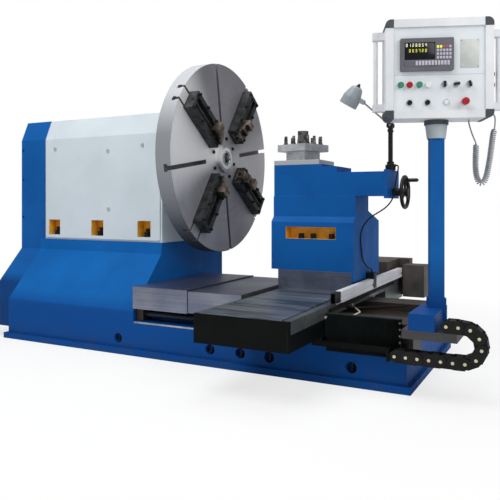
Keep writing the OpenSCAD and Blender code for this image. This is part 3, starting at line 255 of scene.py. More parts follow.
@dataclass(frozen=True)
class Enamel(Finish):
    """Sprayed machine enamel: a smooth coat with orange peel, pale worn edges, and painted shade and dust at
    the foot.
    """

    edge_colour: str = "#ffffff"
    rub: float = 0.55
    rub_mm: float = 4.0
    patch_mm: float = 60.0
    patch_span: tuple[float, float] = (0.4, 0.65)
    gloss_mm: float = 140.0
    # Painted shade at the foot: its dark colour, and the heights where it starts and where it is full
    painted_foot_shade: str = ""
    painted_foot_shade_z: tuple[float, float] = (0.37, 0.27)
    dust: str = "#5d6a7a"
    dust_top: float = 0.0
    dust_share: float = 0.6
    speck_mm: float = 90.0
    speck_span: tuple[float, float] = (0.42, 0.72)
    cloud_span: tuple[float, float] = (0.35, 0.68)
    gloss_swing: tuple[float, float] = (-0.06, 0.1)
    gloss_span: tuple[float, float] = (0.3, 0.7)

    def paint(self, tree: Tree, shader: Node, place: Socket) -> None:
        """Clouded colour, edges rubbed pale in patches, painted shade and dust at the foot, and orange peel.

        Args:
            tree: the material's node tree.
            shader: its shader.
            place: the position in the CAD frame.
        """
        drift = add(tree, Kind.NOISE, blotches(place, self.drift_mm, detail=4.0))
        cloud = add(tree, Kind.RANGE, stretch(drift, *self.cloud_span))
        colour = add(tree, Kind.MIX, {SHARE: cloud, UNDER: self.colour, OVER: self.second}, **COLOURS)
        touched = add(tree, Kind.NOISE, blotches(place, self.patch_mm))
        patches = add(tree, Kind.RANGE, stretch(touched, *self.patch_span))
        worn = add(tree, Kind.MATH, {0: self.worn_edge(tree, self.rub_mm), 1: patches}, operation="MULTIPLY")
        rubbed = add(tree, Kind.MATH, {0: worn, 1: self.rub}, operation="MULTIPLY")
        colour = add(tree, Kind.MIX, {SHARE: rubbed, UNDER: colour, OVER: self.edge_colour}, **COLOURS)
        height = add(tree, Kind.SPLIT, {0: place}, "Z")
        # Painted shade: the colour darkens towards the bottom
        if self.painted_foot_shade:
            low = add(tree, Kind.RANGE, stretch(height, *self.painted_foot_shade_z))
            colour = add(tree, Kind.MIX, {SHARE: low, UNDER: colour, OVER: self.painted_foot_shade}, **COLOURS)
        if self.dust_top > 0:
            low = add(tree, Kind.RANGE, stretch(height, self.dust_top, 0.0, 0.0, self.dust_share))
            cover = add(tree, Kind.NOISE, blotches(place, self.speck_mm, detail=5.0, roughness=0.7))
            speck = add(tree, Kind.RANGE, stretch(cover, *self.speck_span))
            dusty = add(tree, Kind.MATH, {0: low, 1: speck}, operation="MULTIPLY")
            colour = add(tree, Kind.MIX, {SHARE: dusty, UNDER: colour, OVER: self.dust}, **COLOURS)
        tree.links.new(colour, shader.inputs["Base Color"])
        peel = add(tree, Kind.NOISE, blotches(place, self.grain_mm, detail=2.0))
        dull = add(tree, Kind.NOISE, blotches(place, self.gloss_mm))
        gloss = add(tree, Kind.RANGE, stretch(dull, *self.gloss_span, *self.dulled()))
        tree.links.new(gloss, shader.inputs["Roughness"])
        self.relief(tree, shader, peel)


@dataclass(frozen=True)
class TwoTone(Finish):
    """Two materials that meet at a plane: the second lies where place . normal exceeds level."""

    other: str = "#101010"
    other_metallic: float = 0.0
    normal: tuple[float, float, float] = (0.0, 0.0, 1.0)
    level: float = 0.0
    blend: float = 0.0003

    def paint(self, tree: Tree, shader: Node, place: Socket) -> None:
        """Paints both sides of the plane with their own colour and metal, and a common grain.

        Args:
            tree: the material's node tree.
            shader: its shader.
            place: the position in the CAD frame.
        """
        Finish.paint(self, tree, shader, place)
        height = add(tree, Kind.VECTOR, {0: place, 1: self.normal}, "Value", operation="DOT_PRODUCT")
        beyond = add(tree, Kind.RANGE, stretch(height, self.level - self.blend, self.level + self.blend))
        near = shader.inputs["Base Color"].links[0].from_socket
        colour = add(tree, Kind.MIX, {SHARE: beyond, UNDER: near, OVER: self.other}, **COLOURS)
        tree.links.new(colour, shader.inputs["Base Color"])
        metal = add(tree, Kind.RANGE, stretch(beyond, 0.0, 1.0, self.metallic, self.other_metallic))
        tree.links.new(metal, shader.inputs["Metallic"])


@dataclass(frozen=True)
class TurnedIron(Finish):
    """Iron faced on its own spindle: rings round the axis, painted highlights on two fans, the polished hub
    and the rim's top, and painted shade on the top, in the slots and on the rim's lower side.
    """

    centre_z: float = 1.348
    # Painted highlight: its white, and the fans' heading, start and opposite share
    painted_highlight: str = "#ffffff"
    fan: tuple[float, float, float] = (0.0, -0.96, 0.28)
    fan_from: float = 0.66
    fan_back: float = 0.3
    # Painted shade on the top of the face: its colour, the heights where it starts and is full, and its share
    shade: str = "#6d6d74"
    shade_rise: tuple[float, float] = (0.05, 0.6)
    shade_share: float = 0.6
    # Painted shade inside the slots, and how deep they are
    slot_shade: str = "#88898e"
    slot_depth: float = 0.066
    # The rim: painted shade at the bottom, its own grey in the middle, a painted highlight at the top, and the
    # heights where they blend
    rim: tuple[str, str, str] = ("#414246", "#999ca1", "#d4d7db")
    rim_shade_rise: tuple[float, float] = (-0.62, -0.1)
    rim_highlight_rise: tuple[float, float] = (0.12, 0.42)
    rim_r: float = 0.698
    hub_r: float = 0.082
    hub_highlight_share: float = 0.8
    hub_blend: float = 0.004
    slot_lip: tuple[float, float] = (-0.002, -0.005)
    blend: float = 0.001
    mark_span: tuple[float, float] = (0.3, 0.7)
    mark_share: float = 0.5
    anisotropy: float = 0.75
    cloud_span: tuple[float, float] = (0.35, 0.7)
    gloss_swing: tuple[float, float] = (-0.04, 0.06)

    def paint(self, tree: Tree, shader: Node, place: Socket) -> None:
        """Concentric marks, far coarser than the real feed, two fans of painted highlight, a polished hub
        lightened by painted highlight, slots darkened by painted shade, and a rim with painted shade below and
        a painted highlight above.

        Args:
            tree: the material's node tree.
            shader: its shader.
            place: the position in the CAD frame.
        """
        part = add(tree, Kind.SPLIT, {0: place}).node.outputs
        rise = add(tree, Kind.MATH, {0: part["Z"], 1: -self.centre_z}, operation="ADD")
        flat = add(tree, Kind.JOIN, {"Y": part["Y"], "Z": rise})
        radius = add(tree, Kind.VECTOR, {0: flat}, "Value", operation="LENGTH")
        marks = add(tree, Kind.NOISE, {"W": radius, "Scale": 1 / (self.grain_mm * MM), "Detail": 4.0},
                    noise_dimensions="1D")
        colour = self.face(tree, place, marks, rise)
        colour = self.highlight_fans(tree, colour, flat, radius)
        # The polished hub, lightened further by painted highlight
        inner = self.hub_r - self.hub_blend
        hub = add(tree, Kind.RANGE, stretch(radius, self.hub_r, inner, 0.0, self.hub_highlight_share))
        colour = add(tree, Kind.MIX, {SHARE: hub, UNDER: colour, OVER: self.painted_highlight}, **COLOURS)
        # Painted shade inside the slots, behind the face's lip
        deep = add(tree, Kind.RANGE, stretch(part["X"], *self.slot_lip))
        inside = add(tree, Kind.RANGE, stretch(part["X"], -self.slot_depth - self.blend, -self.slot_depth))
        cut = add(tree, Kind.MATH, {0: deep, 1: inside}, operation="MULTIPLY")
        colour = add(tree, Kind.MIX, {SHARE: cut, UNDER: colour, OVER: self.slot_shade}, **COLOURS)
        # Painted shade on the rim's lower side and a painted highlight on its top
        low, middle, high = self.rim
        rising = add(tree, Kind.RANGE, stretch(rise, *self.rim_shade_rise))
        edge = add(tree, Kind.MIX, {SHARE: rising, UNDER: low, OVER: middle}, **COLOURS)
        rising = add(tree, Kind.RANGE, stretch(rise, *self.rim_highlight_rise))
        edge = add(tree, Kind.MIX, {SHARE: rising, UNDER: edge, OVER: high}, **COLOURS)
        outer = add(tree, Kind.RANGE, stretch(radius, self.rim_r - self.blend, self.rim_r))
        colour = add(tree, Kind.MIX, {SHARE: outer, UNDER: colour, OVER: edge}, **COLOURS)
        tree.links.new(colour, shader.inputs["Base Color"])
        gloss = add(tree, Kind.RANGE, stretch(marks, *GRAIN, *self.dulled()))
        tree.links.new(gloss, shader.inputs["Roughness"])
        shader.inputs["Anisotropic"].default_value = self.anisotropy
        around = add(tree, Kind.TANGENT, direction_type="RADIAL", axis="X")
        tree.links.new(around, shader.inputs["Tangent"])
        self.relief(tree, shader, marks)

    def face(self, tree: Tree, place: Socket, marks: Socket, rise: Socket) -> Socket:
        """Gives the face's colour: stained and ringed, with painted shade darkening it towards the top.

        Args:
            tree: the material's node tree.
            place: the position in the CAD frame.
            marks: the rings.
            rise: the height above the axis.

        Returns:
            The colour.
        """
        film = add(tree, Kind.NOISE, blotches(place, self.drift_mm, detail=4.0))
        stain = add(tree, Kind.RANGE, stretch(film, *self.cloud_span))
        faint = add(tree, Kind.RANGE, stretch(marks, *GRAIN, *self.mark_span))
        both = add(tree, Kind.MATH, {0: faint, 1: self.mark_share, 2: stain}, operation="MULTIPLY_ADD",
                   use_clamp=True)
        colour = add(tree, Kind.MIX, {SHARE: both, UNDER: self.colour, OVER: self.second}, **COLOURS)
        # Painted shade towards the top
        upper = add(tree, Kind.RANGE, stretch(rise, *self.shade_rise, 0.0, self.shade_share))
        return add(tree, Kind.MIX, {SHARE: upper, UNDER: colour, OVER: self.shade}, **COLOURS)

    def highlight_fans(self, tree: Tree, colour: Socket, flat: Socket, radius: Socket) -> Socket:
        """Gives the colour with a fan of painted highlight laid over it, and a fainter one on the opposite
        side.

        Args:
            tree: the material's node tree.
            colour: the face's colour.
            flat: the position square to the axis.
            radius: the distance from the axis.

        Returns:
            The colour with its fans.
        """
        along = add(tree, Kind.VECTOR, {0: flat, 1: self.fan}, "Value", operation="DOT_PRODUCT")
        lean = add(tree, Kind.MATH, {0: along, 1: radius}, operation="DIVIDE")
        # Painted highlight: a strong fan and a faint one opposite
        for turn, share in ((1, 1.0), (-1, self.fan_back)):
            sector = add(tree, Kind.RANGE, stretch(lean, turn * self.fan_from, turn * 1.0, 0.0, share),
                         interpolation_type="SMOOTHSTEP")
            colour = add(tree, Kind.MIX, {SHARE: sector, UNDER: colour, OVER: self.painted_highlight}, **COLOURS)
        return colour


@dataclass(frozen=True)
class GroundMetal(Finish):
    """Metal ground, drawn or brushed one way: streaks along one axis in colour, gloss and height."""

    along: Axis = Axis.X
    streak_mm: float = 500.0
    streak_share: float = 0.5
    smear: str = ""
    smear_span: tuple[float, float] = (0.48, 0.62)
    smear_share: float = 0.8
    cloud_span: tuple[float, float] = (0.36, 0.68)
    gloss_swing: tuple[float, float] = (-0.06, 0.1)

    def paint(self, tree: Tree, shader: Node, place: Socket) -> None:
        """Long streaks, drawn coarser than the real grit, and soft stains of oil that dull them.

        Args:
            tree: the material's node tree.
            shader: its shader.
            place: the position in the CAD frame.
        """
        size = [1 / ((self.streak_mm if a else self.grain_mm) * MM) for a in self.along.value]
        stretched = add(tree, Kind.MAPPING, {"Vector": place, "Scale": size})
        streak = add(tree, Kind.NOISE, {"Vector": stretched, "Scale": 1.0, "Detail": 4.0})
        film = add(tree, Kind.NOISE, blotches(place, self.drift_mm, detail=4.0, roughness=0.6))
        stain = add(tree, Kind.RANGE, stretch(film, *self.cloud_span))
        faint = add(tree, Kind.RANGE, stretch(streak, *GRAIN, 0.0, self.streak_share))
        both = add(tree, Kind.MATH, {0: faint, 1: stain}, operation="ADD", use_clamp=True)
        colour = add(tree, Kind.MIX, {SHARE: both, UNDER: self.colour, OVER: self.second}, **COLOURS)
        if self.smear:
            wavy = add(tree, Kind.NOISE, {"Vector": stretched, "Scale": 0.3, "Detail": 3.0,
                                          "Distortion": 1.4})
            wiped = add(tree, Kind.RANGE, stretch(wavy, *self.smear_span, 0.0, self.smear_share))
            colour = add(tree, Kind.MIX, {SHARE: wiped, UNDER: colour, OVER: self.smear}, **COLOURS)
        tree.links.new(colour, shader.inputs["Base Color"])
        gloss = add(tree, Kind.RANGE, stretch(streak, *GRAIN, *self.dulled()))
        tree.links.new(gloss, shader.inputs["Roughness"])
        self.relief(tree, shader, streak)


@dataclass(frozen=True)
class Lit(Finish):
    """A display segment or lamp that gives its own light, a little uneven across its face."""

    strength: float = 1.0

    def paint(self, tree: Tree, shader: Node, place: Socket) -> None:
        """Glowing colour over a dark body.

        Args:
            tree: the material's node tree.
            shader: its shader.
            place: the position in the CAD frame.
        """
        drift = add(tree, Kind.NOISE, blotches(place, self.drift_mm))
        cloud = add(tree, Kind.RANGE, stretch(drift, *self.cloud_span))
        glow = add(tree, Kind.MIX, {SHARE: cloud, UNDER: self.colour, OVER: self.second}, **COLOURS)
        tree.links.new(glow, shader.inputs["Base Color"])
        tree.links.new(glow, shader.inputs["Emission Color"])
        shader.inputs["Emission Strength"].default_value = self.strength


# Alkyd machine enamel, sprayed: deep blue, half gloss, a little paler where edges are rubbed
BLUE = Enamel("blue_machine_enamel_sprayed", "#0f5fab", "#0d569e", roughness=0.45, specular=0.1,
              edge_colour="#4f8ac8")
# The same enamel on the base, with painted shade darkening its foot and dust from the floor
BLUE_FOOT = Enamel("blue_machine_enamel_dust_and_painted_shade", "#1268b6", "#0f60aa", roughness=0.5, specular=0.08,
                   edge_colour="#5a86ba", dust="#364562", dust_top=0.16, painted_foot_shade="#094b94")
# The same enamel on the belt guard and the panel's column, with painted shade darkening their feet
BLUE_GUARD = Enamel("blue_machine_enamel_on_guard", "#0f5fab", "#0d569e", roughness=0.45, specular=0.1,
                    edge_colour="#4f8ac8", painted_foot_shade="#073c78", painted_foot_shade_z=(0.47, 0.4))
BLUE_COLUMN = Enamel("blue_machine_enamel_on_column", "#145fa6", "#11569a", roughness=0.45, specular=0.1,
                     edge_colour="#4f8ac8", painted_foot_shade="#0a4488", painted_foot_shade_z=(0.72, 0.44))
# Satin enamel on the headstock casting: cool white, faintly clouded
WHITE = Enamel("white_machine_enamel_satin", "#d6e0e7", "#cdd8df", roughness=0.46, specular=0.25,
               edge_colour="#ffffff")
# Signal yellow brushed into the bolt pockets, thick and uneven
YELLOW = Enamel("signal_yellow_brushed_enamel", "#f4bc3a", "#e09a34", roughness=0.5, drift_mm=50, grain_mm=9,
                relief_mm=0.6, edge_colour="#f0d070")
# Grey cast iron, faced on the lathe: faint concentric marks, painted highlights on the front sector and the
# hub, and painted shade on the top
FACED_IRON = TurnedIron("grey_iron_faced", "#b1b1b7", "#9b9aa1", roughness=0.42, metallic=0.4, grain_mm=30,
                        drift_mm=300, relief_mm=0.02)
# Bearing steel, ground round: bright
GROUND_STEEL = GroundMetal("bearing_steel_ground", "#d6d9de", "#a3a6ac", roughness=0.25, metallic=0.6,
                           grain_mm=8, drift_mm=120, relief_mm=0.03)
# Feed screws: dark steel under a film of oil
SCREW_STEEL = GroundMetal("feed_screw_steel_oiled", "#3a4250", "#262c38", roughness=0.4, metallic=0.5,
                          grain_mm=8, drift_mm=120, relief_mm=0.03)
# Tool post steel, ground: silvery, a little darker in the recesses
POST_STEEL = GroundMetal("tool_post_steel_ground", "#d3d5d8", "#aeb0b5", roughness=0.36, metallic=0.6,
                         grain_mm=10, streak_mm=120, drift_mm=90, relief_mm=0.05)
# Stainless cover sheet, brushed along the bed: greyish, reflects what stands on it
COVER_SHEET = GroundMetal("cover_sheet_brushed_steel", "#969aa6", "#777d90", roughness=0.36, metallic=1.0,
                          grain_mm=10, streak_mm=700, drift_mm=350, relief_mm=0.05)
# Cast iron slab, milled and oiled: grey green, dull, with darker wipes of oil
MILLED_IRON = GroundMetal("oiled_cast_iron_milled", "#7d8482", "#64696c", roughness=0.42, metallic=0.8,
                          along=Axis.X, grain_mm=26, streak_mm=300, drift_mm=380, relief_mm=0.05)
# The cover plates of the cross ways: the same dull iron, wiped with oil
CROSS_SHEET = GroundMetal("oiled_cover_plate_dull", "#7f888b", "#6b7580", roughness=0.4, metallic=0.75,
                          along=Axis.X, grain_mm=30, streak_mm=320, drift_mm=320, relief_mm=0.04,
                          smear="#3a3f49")
# The bed beyond the saddle: oily iron with brown films of old oil
BED_IRON = GroundMetal("oily_bed_iron_brown_film", "#3a3b3d", "#463b33", roughness=0.44, metallic=0.6,
                       grain_mm=16, streak_mm=300, drift_mm=140, relief_mm=0.06)
# Dark oiled steel of the cross slide plate
SLIDE_STEEL = GroundMetal("oiled_slide_steel_dark", "#737a8c", "#596074", roughness=0.36, metallic=0.6,
                          along=Axis.X, grain_mm=12, streak_mm=260, drift_mm=160, relief_mm=0.05)
# Bracket plate, hot rolled and greyed
BRACKET_PLATE = Finish("hot_rolled_bracket_plate", "#4e4e51", "#414144", roughness=0.5, metallic=0.3,
                       drift_mm=120, grain_mm=9)
# Phosphated alloy steel, oiled: black with a damp sheen
BLACK_OXIDE = GroundMetal("black_oxide_steel_oiled", "#4a4e50", "#222525", roughness=0.4, metallic=0.35,
                          grain_mm=14, streak_mm=60, drift_mm=70, relief_mm=0.3)
# Hardened jaw steel, ground: bright and slightly warm
JAW_STEEL = GroundMetal("hardened_jaw_steel_ground", "#b0a093", "#554f49", roughness=0.32, metallic=1.0,
                        grain_mm=9, streak_mm=90, drift_mm=60, relief_mm=0.1)
# Bolt steel, blackened: dark heads
BOLT_STEEL = Finish("bolt_steel_blackened", "#2c2c2d", "#1a1a1b", roughness=0.4, metallic=0.6, drift_mm=25,
                    grain_mm=6)
# Clamp bolts and the centre bolt of the tool post: oiled steel, wiped bright in stripes
CLAMP_STEEL = GroundMetal("clamp_bolt_steel_oiled", "#9a9a99", "#2b2b2c", roughness=0.4, metallic=0.4,
                          along=Axis.Z, grain_mm=14, streak_mm=150, drift_mm=30, relief_mm=0.05)
# Hard chrome on rods: mirror bright
CHROME = GroundMetal("hard_chrome_plate", "#c9ccd0", "#9a9da3", roughness=0.2, metallic=1.0, grain_mm=6,
                     drift_mm=60, relief_mm=0.01)
# Rear housing, bare brownish cast iron
BARE_CASTING = Finish("bare_iron_casting", "#6a625c", "#4a4644", roughness=0.5, metallic=0.4, drift_mm=140,
                      grain_mm=10, relief_mm=0.4)
# Motor casting, grey violet primer
MOTOR_GREY = Finish("motor_casting_primer", "#6c6870", "#57535b", roughness=0.5, drift_mm=160, grain_mm=8,
                    relief_mm=0.3)
# Extruded aluminium, anodised: silver white, fine lines along the extrusion
ANODISED = GroundMetal("aluminium_extrusion_anodised", "#eff1f4", "#e3e6ea", roughness=0.42, metallic=0.2,
                       along=Axis.Z, grain_mm=7, streak_mm=400, drift_mm=200, relief_mm=0.03)
# The plain bare plate on the panel, anodised darker
BARE_PLATE = GroundMetal("aluminium_plate_bare", "#d3d6d2", "#c4c8c4", roughness=0.42, metallic=0.2,
                         along=Axis.X, grain_mm=6, streak_mm=60, drift_mm=60, relief_mm=0.02)
# The scale's extrusion lies across the bed
ANODISED_SCALE = GroundMetal("aluminium_scale_extrusion", "#f0f1f6", "#e2e3ea", roughness=0.4, metallic=0.15,
                             along=Axis.Y, grain_mm=7, streak_mm=600, drift_mm=200, relief_mm=0.03)
# Panel sheet, powder coated: pale blue grey with a fine texture
PANEL_COAT = Finish("panel_sheet_powder_coat", "#e6ebef", "#dfe5ea", roughness=0.5, drift_mm=180, grain_mm=6,
                    relief_mm=0.08)
# Glass filled nylon: dark grey corner pieces and the chain's links
DARK_NYLON = Finish("glass_filled_nylon_dark_grey", "#4f5358", "#414549", roughness=0.5, drift_mm=60,
                    grain_mm=5, relief_mm=0.08)
# The same nylon in black, for the cable chain: dull, with soft highlights
CHAIN_NYLON = Finish("glass_filled_nylon_black", "#191a19", "#101110", roughness=0.45, specular=0.2,
                     drift_mm=60, grain_mm=6)
# Moulded pin heads of the chain: pale, slightly yellow
PIN_NYLON = Finish("natural_nylon_pins", "#dcd8b8", "#bfbb98", roughness=0.45, drift_mm=12, grain_mm=4)
# Coated fabric of the bellows: black, matt
BELLOWS_CLOTH = Finish("neoprene_coated_bellows_cloth", "#272d2d", "#1d2222", roughness=0.6, specular=0.12,
                       drift_mm=90, grain_mm=6, relief_mm=0.2)
# Black sheet cover in front of the saddle, wrinkle paint
BLACK_SHEET = Finish("black_wrinkle_paint_on_sheet", "#0e1211", "#080b0a", roughness=0.5, specular=0.08,
                     drift_mm=200, grain_mm=7, relief_mm=0.15)
# Phenolic and ABS mouldings: black, half gloss
BLACK_PLASTIC = Finish("black_phenolic_moulded", "#1a1a1c", "#111113", roughness=0.34, drift_mm=50,
                       grain_mm=7, relief_mm=0.05)
# Bezel of the read-out
BEZEL = Finish("bezel_abs_dark_grey", "#686870", "#5f5f67", roughness=0.45, drift_mm=80, grain_mm=5,
               relief_mm=0.05)
# Smoked acrylic window of the read-out: nearly black and glossy
SCREEN = Finish("display_window_acrylic", "#121318", "#17181f", roughness=0.2, drift_mm=90, grain_mm=20,
                relief_mm=0.0)
# Printed polyester film over the keys: satin, lilac grey
KEY_LILAC = Finish("keypad_film_lilac", "#c9c6d2", "#b7b3c4", roughness=0.45, drift_mm=30, grain_mm=5)
# The same film in faded red
KEY_RED = Finish("keypad_film_red", "#b0656c", "#9c525a", roughness=0.45, drift_mm=30, grain_mm=5)
# Zinc alloy collar, painted light grey
COLLAR_GREY = Enamel("light_grey_enamel_on_collar", "#b6bfc4", "#a5aeb4", roughness=0.42,
                     edge_colour="#c8d0d6")
# Grey PVC jacket of the curly cord
CORD_PVC = Finish("grey_pvc_cord_jacket", "#a0a5ab", "#7f848b", roughness=0.42, drift_mm=18, grain_mm=4,
                  relief_mm=0.05)
# Rubber jacket of leads and cables: black, matt
RUBBER_LEAD = Finish("black_rubber_lead", "#161617", "#0e0e0f", roughness=0.5, specular=0.2, drift_mm=40,
                     grain_mm=5)
# Cream nylon tube of the lubrication
NYLON_TUBE = Finish("cream_nylon_tube", "#cfcaba", "#b5b0a1", roughness=0.4, drift_mm=40, grain_mm=5)
# Lamp shell, spun aluminium with pale enamel
LAMP_SHELL = Enamel("lamp_shell_pale_enamel", "#97a0a6", "#858e95", roughness=0.36, specular=0.4,
                    edge_colour="#ffffff")
# Moulded button caps, half gloss: red, green and white
RED_BUTTON = Finish("red_button_cap_moulded", "#b3202a", "#98151f", roughness=0.36, drift_mm=20, grain_mm=6)
GREEN_BUTTON = Finish("green_button_cap_moulded", "#3f8f74", "#33785f", roughness=0.36, drift_mm=20,
                      grain_mm=6)
WHITE_BUTTON = Finish("white_button_cap_moulded", "#eceef0", "#dde1e4", roughness=0.36, drift_mm=20,
                      grain_mm=6)
# Lit segments of the read-out: yellow green and warm white
DIGIT_YELLOW = Lit("display_digit_yellow_green", "#c9cf4a", "#b7ba3a", strength=0.7)
DIGIT_WHITE = Lit("display_digit_warm_white", "#e6e5c4", "#d3d3a6", strength=0.7)
# Frosted bulb of the work lamp: a soft, even white
LAMP_LENS = Lit("lamp_bulb_frosted", "#f4f4ee", "#e4e4dc", strength=0.5)
# Selector: a silver ring on the panel, with a black bar beyond the plane of the ring's front
SELECTOR = TwoTone("selector_silver_ring_black_bar", "#1b1b1d", "#141416", roughness=0.36, other="#c3c8cc",
                   other_metallic=0.4, normal=(-0.35837, 0.93358, 0.0), level=-1.2617)
# Top slide: blue enamel below, and the ground steel seat of the tool post above
SLIDE_AND_SEAT = TwoTone("blue_enamel_with_ground_seat", "#0f5fab", "#0d569e", roughness=0.45, specular=0.1,
                         other="#c6c9cd", other_metallic=0.8, level=1.2706)

NODE_FINISH: dict[Finish, tuple[str, ...]] = {
    BLUE: ("tool_rest", "top_slide_base"),
    BLUE_GUARD: ("end_cover",),
    BLUE_COLUMN: ("panel_column",),
    SLIDE_AND_SEAT: ("top_slide",),
    BLUE_FOOT: ("base",),
    WHITE: ("headstock", "front_panel"),
    FACED_IRON: ("faceplate",),
    GROUND_STEEL: ("spindle", "spindle_bearings"),
    SCREW_STEEL: ("feed_screw", "cross_screw"),
    POST_STEEL: ("tool_post",),
    SLIDE_STEEL: ("cross_slide",),
    COVER_SHEET: ("way_cover_fixed", "way_cover_moving"),
    CROSS_SHEET: ("cross_way_cover",),
    MILLED_IRON: ("saddle",),
    BED_IRON: ("bed",),
    BRACKET_PLATE: ("panel_bracket",),
    BLACK_OXIDE: ("jaw_guides", "spindle_pulley", "motor_pulley"),
    JAW_STEEL: ("jaw_1", "jaw_2", "jaw_3", "jaw_4"),
    BOLT_STEEL: ("hold_down_bolts", "scale_head"),
    CLAMP_STEEL: ("tool_clamp_bolts",),
    CHROME: ("lamp_upper_arm",),
    BARE_CASTING: ("cross_drive_cover",),
    MOTOR_GREY: ("main_motor",),
    ANODISED: ("panel_frame", "panel_handles"),
    ANODISED_SCALE: ("linear_scale",),
    PANEL_COAT: ("panel_face",),
    DARK_NYLON: ("panel_collar",),
    CHAIN_NYLON: ("drag_chain",),
    BELLOWS_CLOTH: ("feed_bellows", "drive_belts"),
    BLACK_SHEET: ("saddle_front_cover",),
    BLACK_PLASTIC: ("handwheel", "handwheel_grip", "lamp_base", "lamp_lower_arm"),
    SELECTOR: ("selector_1", "selector_2", "selector_3"),
    BEZEL: ("readout",),
    LAMP_SHELL: ("lamp_head",),
    CORD_PVC: ("pendant_cord_coil", "pendant_cord_leads"),
    RUBBER_LEAD: ("lamp_cord",),
    RED_BUTTON: ("emergency_stop", "push_button_2"),
    GREEN_BUTTON: ("push_button_1", "push_button_3"),
    WHITE_BUTTON: ("push_button_4",),
}


def stand(name: str, data: Any) -> bpy.types.Object:
    """Puts an object in the scene.

    Args:
        name: its name.
        data: its mesh, curve, light or camera.

    Returns:
        The object.
    """
    made = bpy.data.objects.new(name, data)
    bpy.context.scene.collection.objects.link(made)
    return made


